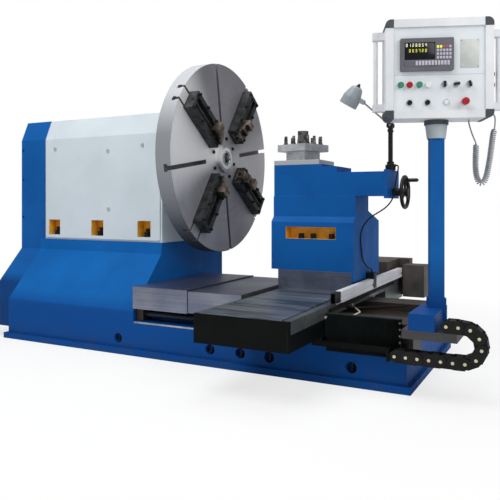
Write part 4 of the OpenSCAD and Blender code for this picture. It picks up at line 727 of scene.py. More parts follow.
class Shape:
    """Gathers the faces of one piece, then turns them to an object that rides on a CAD body."""

    def __init__(self, place: Matrix | None = None) -> None:
        """Starts an empty shape.

        Args:
            place: where the piece's own frame stands in the CAD frame.
        """
        self.mesh = bmesh.new()
        self.place = place or Matrix.Identity(4)

    def block(self, low: Point, high: Point, edge: float = 0.0015) -> "Shape":
        """Adds a box between two corners, with its edges broken by edge.

        Args:
            low: the low corner.
            high: the high corner.
            edge: the width of the broken edges.

        Returns:
            This shape.
        """
        size = [b - a for a, b in zip(low, high)]
        centre = [(a + b) / 2 for a, b in zip(low, high)]
        where = Matrix.Translation(centre) @ Matrix.Diagonal((*size, 1))
        made = bmesh.ops.create_cube(self.mesh, size=1.0, matrix=where)
        if edge > 0:
            edges = {e for v in made["verts"] for e in v.link_edges}
            bmesh.ops.bevel(self.mesh, geom=list(edges), offset=edge, segments=2, affect="EDGES", profile=0.6)
        return self

    def blocks(self, boxes: Sequence[Box]) -> "Shape":
        """Adds a box for each set of low corner, high corner and broken edge."""
        for low, high, edge in boxes:
            self.block(low, high, edge)
        return self

    def lining(self, low: Point, high: Point, floor: bool = False) -> "Shape":
        """Lines a pocket that opens to the front with thin walls.

        Args:
            low: the pocket's low corner, at its front.
            high: its high corner, at its back.
            floor: whether its floor is lined too.

        Returns:
            This shape.
        """
        (x0, y0, z0), (x1, y1, z1) = low, high
        walls = [((x0, y1 - LINING, z0), high), (low, (x0 + LINING, y1, z1)), ((x1 - LINING, y0, z0), high)]
        if floor:
            walls.append((low, (x1, y1, z0 + LINING)))
        walls.append(((x0, y0, z1 - LINING), high))
        return self.blocks([(a, b, LINING_EDGE) for a, b in walls])

    def ring(self, middle: Vector, heading: Vector, side: Vector, radius: float, sides: int) -> Ring:
        """Gives a ring of points round middle, square to heading, that starts on the given side.

        Args:
            middle: its centre.
            heading: the direction that it is square to.
            side: the direction of its first point.
            radius: its radius.
            sides: how many points it has.

        Returns:
            The points.
        """
        other = heading.cross(side)
        angles = (2 * math.pi * k / sides for k in range(sides))
        return [self.mesh.verts.new(middle + (side * math.cos(a) + other * math.sin(a)) * radius)
                for a in angles]

    def skin(self, rings: Sequence[Ring]) -> "Shape":
        """Joins rings of points with faces, and closes both ends.

        Args:
            rings: rings with the same number of points.

        Returns:
            This shape.
        """
        count = len(rings[0])
        for ring, following in zip(rings, rings[1:]):
            for k in range(count):
                after = (k + 1) % count
                self.mesh.faces.new((ring[k], ring[after], following[after], following[k]))
        self.mesh.faces.new(list(reversed(rings[0])))
        self.mesh.faces.new(rings[-1])
        return self

    def turned(self, start: Point, axis: Point, profile: Profile, sides: int = 28) -> "Shape":
        """Adds a closed turned form.

        Args:
            start: a point on the axis, where the profile's distance is 0.
            axis: the axis's direction.
            profile: pairs of distance along the axis and radius, from one end to the other.
            sides: faces round the axis.

        Returns:
            This shape.
        """
        along = Vector(axis).normalized()
        side = along.orthogonal().normalized()
        return self.skin([self.ring(Vector(start) + along * distance, along, side, max(radius, TIP), sides)
                          for distance, radius in profile])

    def outline(self, points: Profile, y0: float, y1: float) -> "Shape":
        """Adds a flat plate: an outline in the X-Z plane, from y0 to y1."""
        return self.skin([[self.mesh.verts.new((x, y, z)) for x, z in points] for y in (y0, y1)])

    def pipe(self, points: Sequence[Point], radius: float, sides: int = 12) -> "Shape":
        """Adds a round pipe along points, with flat ends.

        Args:
            points: its centreline.
            radius: its radius.
            sides: faces round it.

        Returns:
            This shape.
        """
        path = [Vector(p) for p in points]
        rings, side = [], None
        for i, here in enumerate(path):
            heading = (path[min(i + 1, len(path) - 1)] - path[max(i - 1, 0)]).normalized()
            side = heading.orthogonal() if side is None else side - heading * side.dot(heading)
            side.normalize()
            rings.append(self.ring(here, heading, side, radius, sides))
        return self.skin(rings)

    def cap_screw(self, at: Point, axis: Point, head: float, height: float) -> "Shape":
        """Adds a socket head cap screw: at is under the head, axis points out of it."""
        r, floor = head / 2, height * 0.45
        return self.turned(at, axis, ((0, r), (height - r * 0.14, r), (height, r * 0.86), (height, r * 0.5),
                                      (floor, r * 0.46), (floor, 0)), sides=20)

    def hexagon(self, at: Point, axis: Point, across: float, height: float) -> "Shape":
        """Adds a hexagon head with a round chamfer and a washer face."""
        r = across / 2 * 1.155
        return self.turned(at, axis, ((0, r * 1.1), (height * 0.12, r * 1.1), (height * 0.121, r),
                                      (height * 0.9, r), (height, r * 0.86), (height, 0)), sides=6)

    def piece(self, name: str, finish: Finish, body: str, smooth: float = 35.0) -> bpy.types.Object:
        """Makes the object.

        Args:
            name: the piece's name.
            finish: its material.
            body: the CAD body that it rides on.
            smooth: edges under this many degrees are shaded smooth.

        Returns:
            The object.
        """
        made = self.loose(name, finish, smooth)
        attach(made, body)
        return made

    def loose(self, name: str, finish: Finish, smooth: float = 35.0) -> bpy.types.Object:
        """Makes the object without a body.

        Args:
            name: the piece's name.
            finish: its material.
            smooth: edges under this many degrees are shaded smooth.

        Returns:
            The object.
        """
        bmesh.ops.recalc_face_normals(self.mesh, faces=self.mesh.faces)
        data = bpy.data.meshes.new(name)
        self.mesh.to_mesh(data)
        self.mesh.free()
        data.transform(self.place)
        data.polygons.foreach_set("use_smooth", [True] * len(data.polygons))
        data.set_sharp_from_angle(angle=math.radians(smooth))
        data.materials.append(finish.material())
        LOG.info("%s: %d faces in %s", name, len(data.polygons), finish.name)
        return stand(name, data)


def smooth_path(points: Sequence[Point], steps: int) -> list[Vector]:
    """Rounds a list of points off to a smooth curve through them.

    Args:
        points: the points.
        steps: new points for each span.

    Returns:
        The finer path, which starts and ends where the points do.
    """
    p = [Vector(q) for q in points]
    path = []
    for i in range(len(p) - 1):
        a, b, c, d = p[max(i - 1, 0)], p[i], p[i + 1], p[min(i + 2, len(p) - 1)]
        for k in range(steps):
            t = k / steps
            path.append(0.5 * (2 * b + (c - a) * t + (2 * a - 5 * b + 4 * c - d) * t ** 2
                               + (3 * b - a - 3 * c + d) * t ** 3))
    return path + [p[-1]]


def length_of(path: Sequence[Vector]) -> float:
    """Gives the length along a path."""
    return sum((b - a).length for a, b in zip(path, path[1:]))


def cord_curve(name: str, path: Sequence[Vector], diameter: float, finish: Finish,
               body: str) -> bpy.types.Object:
    """Makes a cord as a curve of one open spline that rides on a body.

    Args:
        name: the piece's name.
        path: the points of its centreline.
        diameter: its thickness.
        finish: its material.
        body: the CAD body that carries it.

    Returns:
        The curve object.
    """
    data = bpy.data.curves.new(name, "CURVE")
    data.dimensions = "3D"
    data.bevel_depth = diameter / 2
    data.bevel_resolution = 3
    data.use_fill_caps = True
    line = data.splines.new("POLY")
    line.points.add(len(path) - 1)
    line.points.foreach_set("co", [c for p in path for c in (*p, 1.0)])
    data.materials.append(finish.material())
    made = stand(name, data)
    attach(made, body)
    LOG.info("%s: a cord of %.3f m", name, length_of(path))
    return made


@dataclass(frozen=True)
class Softbox:
    """One square area light: where it hangs, where it points, its side and its power in watts."""

    name: str
    at: tuple[float, float, float]
    aim: tuple[float, float, float]
    size: float
    power: float

    def build(self) -> None:
        """Hangs the softbox."""
        data = bpy.data.lights.new(self.name, "AREA")
        data.size = self.size
        data.energy = self.power
        made = stand(self.name, data)
        made.location = self.at
        made.rotation_euler = (Vector(self.aim) - Vector(self.at)).to_track_quat("-Z", "Y").to_euler()


@dataclass
class Studio:
    """The pale floor, the soft light and the camera."""

    eye: tuple[float, float, float] = (2.314, -4.016, 1.012)
    azimuth: float = 27.5
    lens: float = 44.3
    sensor: float = 36.0
    shift_y: float = -0.094
    ambient: float = 0.34
    floor_colour: str = "#f7f8f8"
    floor_glow: float = 0.72
    floor_half: float = 30.0
    fade: tuple[float, float] = (1.6, 3.4)
    lights: tuple[Softbox, ...] = (
        Softbox("key_softbox", (-0.4, -3.0, 5.2), (0.2, 0.0, 0.8), 3.4, 150),
        Softbox("right_softbox", (5.0, -2.4, 3.4), (0.6, 0.0, 0.8), 2.6, 75),
        Softbox("top_softbox", (0.2, 0.6, 5.4), (0.2, 0.0, 0.8), 3.0, 80))

    def build(self) -> None:
        """Sets up the whole stage."""
        bpy.context.scene.view_settings.view_transform = "Standard"
        self.camera()
        self.world()
        self.floor()
        for light in self.lights:
            light.build()

    def camera(self) -> None:
        """Stands the camera where the photograph was taken from."""
        data = bpy.data.cameras.new("camera")
        data.lens = self.lens
        data.sensor_width = self.sensor
        data.shift_y = self.shift_y
        made = stand("camera", data)
        made.location = self.eye
        made.rotation_euler = (math.radians(90), 0, math.radians(self.azimuth))
        bpy.context.scene.camera = made

    def world(self) -> None:
        """Lights the room evenly and dimly, and shows white to the eye."""
        world = bpy.data.worlds.new("room")
        bpy.context.scene.world = world
        world.use_nodes = True
        tree = world.node_tree
        tree.nodes.clear()
        rays = add(tree, Kind.RAYS).node.outputs
        seen = add(tree, Kind.MATH, {0: rays["Is Camera Ray"], 1: rays["Is Transmission Ray"]},
                   operation="MAXIMUM")
        dim = add(tree, Kind.BACKGROUND, {"Color": PURE_WHITE, "Strength": self.ambient})
        white = add(tree, Kind.BACKGROUND, {"Color": PURE_WHITE, "Strength": 1.0})
        add(tree, Kind.WORLD, {0: add(tree, Kind.MIX_SHADER, {0: seen, 1: dim, 2: white})})

    def floor(self) -> None:
        """Lays the floor, which keeps the shadow near the machine and fades to white away from it."""
        half = self.floor_half
        data = bpy.data.meshes.new("floor")
        corners = [(-half, -half, 0), (half, -half, 0), (half, half, 0), (-half, half, 0)]
        data.from_pydata(corners, [], [(0, 1, 2, 3)])
        made = stand("floor", data)
        material = bpy.data.materials.new("studio_floor_paint")
        material.use_nodes = True
        tree = material.node_tree
        tree.nodes.clear()
        far = add(tree, Kind.VECTOR, {0: add(tree, Kind.PLACE, out="Object")}, "Value", operation="LENGTH")
        fade = add(tree, Kind.RANGE, stretch(far, *self.fade, self.floor_glow),
                   interpolation_type="SMOOTHSTEP")
        eye = add(tree, Kind.RAYS, out="Is Camera Ray")
        share = add(tree, Kind.MATH, {0: fade, 1: eye}, operation="MULTIPLY")
        paint = add(tree, Kind.DIFFUSE, {"Color": self.floor_colour})
        white = add(tree, Kind.EMISSION, {"Color": PURE_WHITE, "Strength": 1.0})
        add(tree, Kind.OUTPUT, {0: add(tree, Kind.MIX_SHADER, {0: share, 1: paint, 2: white})})
        data.materials.append(material)


@dataclass
class Headstock:
    """The headstock, belt cover and base: pocket linings, plugs, cover screws and levelling screws."""

    pocket_x: tuple[float, ...] = (-1.2975, -0.8605, -0.4235)
    pocket_side: float = 0.118
    pocket_z: float = 0.764
    front: float = -0.42
    pocket_back: float = -0.34
    plugs: Profile = ((-1.288, 1.438), (-0.757, 1.402), (-0.437, 1.433), (-0.752, 0.967))
    plug_head: tuple[float, float] = (0.03, 0.007)
    cover_head: tuple[float, float] = (0.016, 0.005)
    cover_in: float = 0.02
    cover_front_z: tuple[float, ...] = (0.9, 1.2, 1.44)
    cover_end_y: tuple[float, ...] = (-0.3, 0.0, 0.3)
    cover_end_z: tuple[float, ...] = (0.25, 0.85, 1.55)
    level_x: tuple[float, ...] = (-0.397, 0.328, 0.541, 0.735, 1.239)
    level_y: float = -0.716
    level_z: float = 0.101
    level_stud: Profile = ((0, 0.009), (0.054, 0.009), (0.056, 0.007), (0.056, 0))
    stud_down: float = 0.029
    level_nut: tuple[float, float] = (0.026, 0.014)
    nut_down: float = 0.02

    def build(self) -> None:
        """Builds every piece of the headstock."""
        self.linings()
        self.screw_plugs()
        self.cover_screws()
        self.level_screws()

    def linings(self) -> None:
        """Paints each bolt pocket yellow with a thin lining on its walls."""
        half = self.pocket_side / 2 - GAP
        for k, x in enumerate(self.pocket_x, 1):
            low = (x - half, self.front + LINING_IN, self.pocket_z + GAP)
            high = (x + half, self.pocket_back - GAP, self.pocket_z + self.pocket_side - GAP)
            Shape().lining(low, high).piece(f"bolt_pocket_lining_{k}", YELLOW, "base")

    def screw_plugs(self) -> None:
        """Puts painted plug screws in the front panel."""
        shape = Shape()
        for x, z in self.plugs:
            shape.cap_screw((x, self.front + SUNK, z), FRONT, *self.plug_head)
        shape.piece("front_panel_plugs", COLLAR_GREY, "base")

    def cover_screws(self) -> None:
        """Puts screws along the belt cover's edges."""
        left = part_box("end_cover")[0].x
        shape = Shape()
        for z in self.cover_front_z:
            shape.cap_screw((left + self.cover_in, self.front + SUNK, z), FRONT, *self.cover_head)
        for y in self.cover_end_y:
            for z in self.cover_end_z:
                shape.cap_screw((left + SUNK, y, z), LEFT, *self.cover_head)
        shape.piece("belt_cover_screws", BOLT_STEEL, "base")

    def level_screws(self) -> None:
        """Stands a levelling screw with its lock nut in each pocket of the base."""
        shape = Shape()
        for x in self.level_x:
            shape.turned((x, self.level_y, self.level_z - self.stud_down), UP, self.level_stud, sides=16)
            shape.hexagon((x, self.level_y, self.level_z - self.nut_down), UP, *self.level_nut)
        shape.piece("levelling_screws", BOLT_STEEL, "base")


@dataclass
class Faceplate:
    """The four jaw faceplate: centre sleeve, jaw screws, guide bolts and hub bolts."""

    axis_z: float = 1.348
    turn: float = 8.8
    jaw_turn: float = 45.0
    guide_h: float = 0.072
    screw_x: float = 0.052
    screw_from: float = 0.2
    screw_to: float = 0.6
    thread_from: float = 0.012
    thread_pitch: float = 0.006
    thread_turns: int = 64
    thread_radii: tuple[float, float] = (0.0132, 0.0112)
    square_out: float = 0.6205
    square: Profile = ((0, 0.016), (0.006, 0.016), (0.006, 0.009), (0.012, 0.009))
    bolt_out: tuple[float, ...] = (0.23, 0.33, 0.47, 0.6)
    bolt_side: float = 0.062
    bolt_head: tuple[float, float] = (0.024, 0.012)
    sleeve_x: float = -0.02
    sleeve: Profile = ((0, 0.0535), (0.0505, 0.0535), (0.0525, 0.052), (0.0525, 0.043), (0.049, 0.0405),
                       (0.004, 0.0395))
    hub_count: int = 8
    hub_turn: float = 22.5
    hub_out: float = 0.155
    hub_head: tuple[float, float] = (0.026, 0.01)

    def spot(self, k: int, out: float, side: float, x: float) -> Vector:
        """Gives a point on jaw k's slideway: out along the radius, to one side, and x off the face.

        Args:
            k: the jaw, from 0.
            out: distance from the axis.
            side: distance from the slideway's middle.
            x: distance off the face.

        Returns:
            The point.
        """
        a = math.radians(self.turn + self.jaw_turn + 90 * k)
        across, up = out * math.cos(a) - side * math.sin(a), out * math.sin(a) + side * math.cos(a)
        return Vector((x, across, self.axis_z + up))

    def build(self) -> None:
        """Builds every piece of the faceplate."""
        sleeve = Shape().turned((self.sleeve_x, 0, self.axis_z), RIGHT, self.sleeve, sides=48)
        sleeve.piece("centre_sleeve", CHROME, "spindle")
        self.jaw_pieces()
        hub = Shape()
        for k in range(self.hub_count):
            a = math.radians(self.hub_turn + self.turn + 360 / self.hub_count * k)
            at = (0, self.hub_out * math.cos(a), self.axis_z + self.hub_out * math.sin(a))
            hub.cap_screw(at, RIGHT, *self.hub_head)
        hub.piece("hub_bolts", BOLT_STEEL, "spindle")

    def jaw_pieces(self) -> None:
        """Gives each jaw its threaded screw with a square end, and its slideway two rows of bolts."""
        crest, root = self.thread_radii
        thread = []
        for i in range(self.thread_turns):
            d = self.thread_from + i * self.thread_pitch
            thread += [(d, crest), (d + self.thread_pitch / 2, root)]
        screws, bolts, ends = Shape(), Shape(), Shape()
        for k in range(4):
            start, end = (self.spot(k, out, 0, self.screw_x) for out in (self.screw_from, self.screw_to))
            along = (end - start).normalized()
            screws.turned(start, along, thread, sides=16)
            ends.turned(self.spot(k, self.square_out, 0, self.screw_x), along, self.square, sides=4)
            for out in self.bolt_out:
                for side in (-self.bolt_side, self.bolt_side):
                    bolts.cap_screw(self.spot(k, out, side, self.guide_h), RIGHT, *self.bolt_head)
        screws.piece("jaw_screws", SCREW_STEEL, "spindle")
        bolts.piece("jaw_guide_bolts", BOLT_STEEL, "spindle")
        ends.piece("jaw_screw_squares", SCREW_STEEL, "spindle")


@dataclass
class ToolRest:
    """The tool rest's column: the lining of its pocket, and the bolts in it."""

    pocket: tuple[float, float, float, float] = (0.613, 0.968, 0.774, 0.853)
    front: float = -0.228
    pocket_back: float = -0.158
    bolt_x: tuple[float, ...] = (0.715, 0.8, 0.928)
    bolt_in: float = 0.032
    bolt_up: float = 0.002
    bolt_head: tuple[float, float] = (0.036, 0.034)

    def build(self) -> None:
        """Builds every piece of the tool rest."""
        x0, x1, z0, z1 = self.pocket
        low = (x0 + GAP, self.front + LINING_IN, z0 + GAP)
        high = (x1 - GAP, self.pocket_back - GAP, z1 - GAP)
        Shape().lining(low, high, floor=True).piece("rest_pocket_lining", YELLOW, "cross_slide")
        bolts = Shape()
        for x in self.bolt_x:
            bolts.hexagon((x, self.front + self.bolt_in, z0 + self.bolt_up), UP, *self.bolt_head)
        bolts.piece("rest_pocket_bolts", BOLT_STEEL, "cross_slide")


@dataclass
class Lamp:
    """The work lamp's switch and bulb, placed on the tilted axis of its shade."""

    hinge: tuple[float, float, float] = (1.091214, -0.0455, 1.682683)
    lean: float = 32.0
    axis_off: float = -0.081
    switch_z: float = 0.0695
    switch: Profile = ((0, 0.016), (0.006, 0.016), (0.008, 0.0095), (0.02, 0.0088), (0.022, 0))
    bulb_z: float = 0.0005
    bulb: Profile = ((0, 0.012), (0.012, 0.013), (0.022, 0.018), (0.034, 0.019), (0.044, 0.013), (0.048, 0))

    def build(self) -> None:
        """Puts the switch on top of the shade, and the frosted bulb inside."""
        place = Matrix.Translation(self.hinge) @ Matrix.Rotation(math.radians(self.lean), 4, "Y")
        switch = Shape(place).turned((self.axis_off, 0, self.switch_z), UP, self.switch, sides=24)
        switch.piece("lamp_switch", BLACK_PLASTIC, "lamp_head")
        bulb = Shape(place).turned((self.axis_off, 0, self.bulb_z), DOWN, self.bulb, sides=24)
        bulb.piece("lamp_bulb", LAMP_LENS, "lamp_head")


@dataclass
class Saddle:
    """What moves along the bed: the chain and its pins, the bellows, the scale's ends, pipes and wipers."""

    chain_y: float = -0.822
    chain_half: float = 0.037
    chain_top: float = 0.396
    chain_low: float = 0.219
    chain_start: float = 1.766
    chain_centre: float = 1.846
    pitch: float = 0.058
    links: int = 12
    pin: Profile = ((0, 0.0085), (0.0012, 0.0085), (0.0022, 0.0065), (0.0024, 0))
    bellows_x: tuple[float, float] = (1.1014, 1.516)
    bellows_y: tuple[float, float] = (-0.78, -0.7404)
    bellows_z: tuple[float, float] = (0.188, 0.396)
    pleats: int = 44
    fold: float = 0.016
    end_x: tuple[float, float] = (0.0004, 0.0044)
    end_edge: float = 0.001
    studs: int = 6
    stud_x: float = 0.0024
    stud_margin: float = 0.018
    stud: Profile = ((0, 0.006), (0.0016, 0.006), (0.003, 0.004), (0.0032, 0))
    ribs: int = 7
    rib_x: tuple[float, float] = (1.1035, 1.1345)
    rib_y: float = -0.7
    rib_z: tuple[float, float] = (0.4385, 0.4985)
    rib_pitch: float = 0.0135
    rib_width: float = 0.0095
    rib_edge: float = 0.002
    # The boot's core, the block at the far end and the clip on the reader
    scale_boxes: tuple[Box, ...] = (
        ((1.106, -0.7, 0.442), (1.132, -0.6062, 0.495), 0.002),
        ((1.1012, 0.842, 0.4325), (1.1385, 0.934, 0.5012), 0.003),
        ((1.1372, 0.05, 0.436), (1.1405, 0.11, 0.5405), 0.0008))
    scale_cables: tuple[tuple[Point, ...], ...] = (
        ((1.1065, -0.72, 0.395), (1.1075, -0.3, 0.392), (1.1065, 0.2, 0.395), (1.107, 0.7, 0.393)),
        ((1.1065, -0.72, 0.407), (1.1075, -0.2, 0.408), (1.1065, 0.3, 0.406), (1.107, 0.7, 0.407)))
    tube_r: float = 0.0052
    oil_tube: tuple[Point, ...] = (
        (1.1048, -0.79, 0.372), (1.107, -0.76, 0.379), (1.128, -0.6685, 0.3732), (1.206, -0.6474, 0.3702),
        (1.2168, -0.56, 0.3702), (1.2068, -0.4861, 0.3702), (1.112, -0.33, 0.3735), (1.1055, -0.3, 0.38))
    cable_r: float = 0.0068
    cable: tuple[Point, ...] = (
        (1.1065, -0.42, 0.386), (1.13, -0.4, 0.374), (1.206, -0.35, 0.3712), (1.31, -0.26, 0.3712),
        (1.41, -0.157, 0.3712))
    wiper: Box = ((0.1585, -0.7462, 0.4575), (0.1635, 0.1762, 0.4602), 0.0006)
    end_strip: Box = ((0.5512, -0.7445, 0.4332), (0.5524, 0.1745, 0.4568), 0.0003)
    seams: tuple[Box, ...] = (
        ((0.5515, -1.2762, 0.4312), (1.1005, -1.2712, 0.4335), 0.0006),
        ((1.0905, -1.2762, 0.2775), (1.0925, -1.2748, 0.4305), 0.0004))
    lip: Box = ((-0.262, -0.7408, 0.2135), (0.85, -0.7402, 0.2247), 0.0002)
    web: Box = ((-0.205, -0.6168, 0.2262), (1.485, -0.6152, 0.309), 0.0004)

    def build(self) -> None:
        """Builds every piece of the saddle."""
        self.chain()
        self.cross_cover()
        self.bellows()
        self.scale_ends()
        self.pipes()
        self.wipers()
        self.ledge()

    def chain_point(self, run: float) -> tuple[float, float]:
        """Gives X and Z on the chain's pin line, run metres from its fixed end.

        Args:
            run: distance along the chain.

        Returns:
            X and Z.
        """
        upper, radius = self.chain_centre - self.chain_start, (self.chain_top - self.chain_low) / 2
        if run < upper:
            return self.chain_start + run, self.chain_top
        if run < upper + math.pi * radius:
            a = (run - upper) / radius
            return self.chain_centre + radius * math.sin(a), self.chain_low + radius * (1 + math.cos(a))
        return self.chain_centre - (run - upper - math.pi * radius), self.chain_low

    def follower(self, node: str, name: str) -> bpy.types.Object:
        """Gives a copy of a CAD node's solid, in the node's place.

        Args:
            node: the CAD node.
            name: the copy's name.

        Returns:
            The object.
        """
        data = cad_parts[node].data.copy()
        data.name = name
        LOG.info("%s: %d faces, follows two bodies", name, len(data.polygons))
        return stand(name, data)

    def cross_cover(self) -> None:
        """Puts a copy of the plates over the cross ways in the CAD node's place, and hides the node."""
        plates = self.follower("cross_way_cover", "cross_cover_plates")
        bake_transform(plates)
        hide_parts("cross_way_cover")

    def chain(self) -> None:
        """Puts a copy of the chain's links in the CAD node's place, and gives every joint a pale pin on both
        sides.
        """
        links, pins = self.follower("drag_chain", "chain_links"), Shape()
        for i in range(self.links + 1):
            x, z = self.chain_point(i * self.pitch)
            for side in (-1, 1):
                start = (x, self.chain_y + side * (self.chain_half - SUNK), z)
                pins.turned(start, (0, side, 0), self.pin, sides=18)
        for made in (links, pins.loose("chain_pins", PIN_NYLON)):
            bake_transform(made)
        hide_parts("drag_chain")

    def bellows(self) -> None:
        """Folds the bellows in fine pleats, and puts a frame with studs at its fixed end."""
        (x0, x1), (y0, y1), (z0, z1) = self.bellows_x, self.bellows_y, self.bellows_z
        step, inner = (x1 - x0) / self.pleats, y0 + self.fold
        front = [(x0 + (i + 0.5 * k) * step, y0 if k else inner) for i in range(self.pleats) for k in (0, 1)]
        rim = front + [(x1, inner), (x1, y1), (x0, y1)]
        shape = Shape(Matrix(((1, 0, 0, 0), (0, 0, 1, 0), (0, 1, 0, 0), (0, 0, 0, 1))))
        cloth = shape.outline(rim, z0, z1).loose("bellows_cloth", BELLOWS_CLOTH, smooth=20)
        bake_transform(cloth)
        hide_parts("feed_bellows")
        near, far = self.end_x
        end = Shape().block((x1 + near, y0, z0), (x1 + far, y1, z1), self.end_edge)
        end.piece("bellows_end_frame", BLACK_SHEET, "base")
        studs, margin = Shape(), self.stud_margin
        for k in range(self.studs):
            z = z0 + margin + k * (z1 - z0 - 2 * margin) / (self.studs - 1)
            studs.turned((x1 + self.stud_x, y0 + SUNK, z), FRONT, self.stud, sides=16)
        studs.piece("bellows_end_studs", MOTOR_GREY, "base")

    def scale_ends(self) -> None:
        """Puts a boot and a block at the scale's ends, a clip on its reader and two cables below it."""
        dark, cables = Shape(), Shape()
        (x0, x1), (z0, z1) = self.rib_x, self.rib_z
        for k in range(self.ribs):
            y = self.rib_y + self.rib_pitch * k
            dark.block((x0, y, z0), (x1, y + self.rib_width, z1), self.rib_edge)
        dark.blocks(self.scale_boxes).piece("scale_boot_and_block", BLACK_PLASTIC, "saddle")
        for route in self.scale_cables:
            cables.pipe(route, self.tube_r)
        cables.piece("scale_cables", RUBBER_LEAD, "saddle")

    def pipes(self) -> None:
        """Runs the cream oil tube and the black cable by the saddle's right side."""
        tube = Shape().pipe(smooth_path(self.oil_tube, steps=8), self.tube_r, sides=10)
        tube.piece("oil_tube", NYLON_TUBE, "saddle")
        cable = Shape().pipe(smooth_path(self.cable, steps=8), self.cable_r, sides=10)
        cable.piece("bed_cable", RUBBER_LEAD, "saddle")

    def wipers(self) -> None:
        """Puts wiper lips on the way covers' ends, and seams on the saddle's front cover."""
        Shape().block(*self.wiper).piece("way_cover_wiper", BRACKET_PLATE, "base")
        Shape().block(*self.end_strip).piece("way_cover_end_strip", BRACKET_PLATE, "saddle")
        Shape().blocks(self.seams).piece("front_cover_seams", BOLT_STEEL, "saddle")

    def ledge(self) -> None:
        """Lays bare the base's milled lip below the way covers, and paints the bed's web behind the screw."""
        Shape().block(*self.lip).piece("base_milled_lip", POST_STEEL, "base")
        Shape().block(*self.web).piece("bed_web_paint", BLUE, "base")


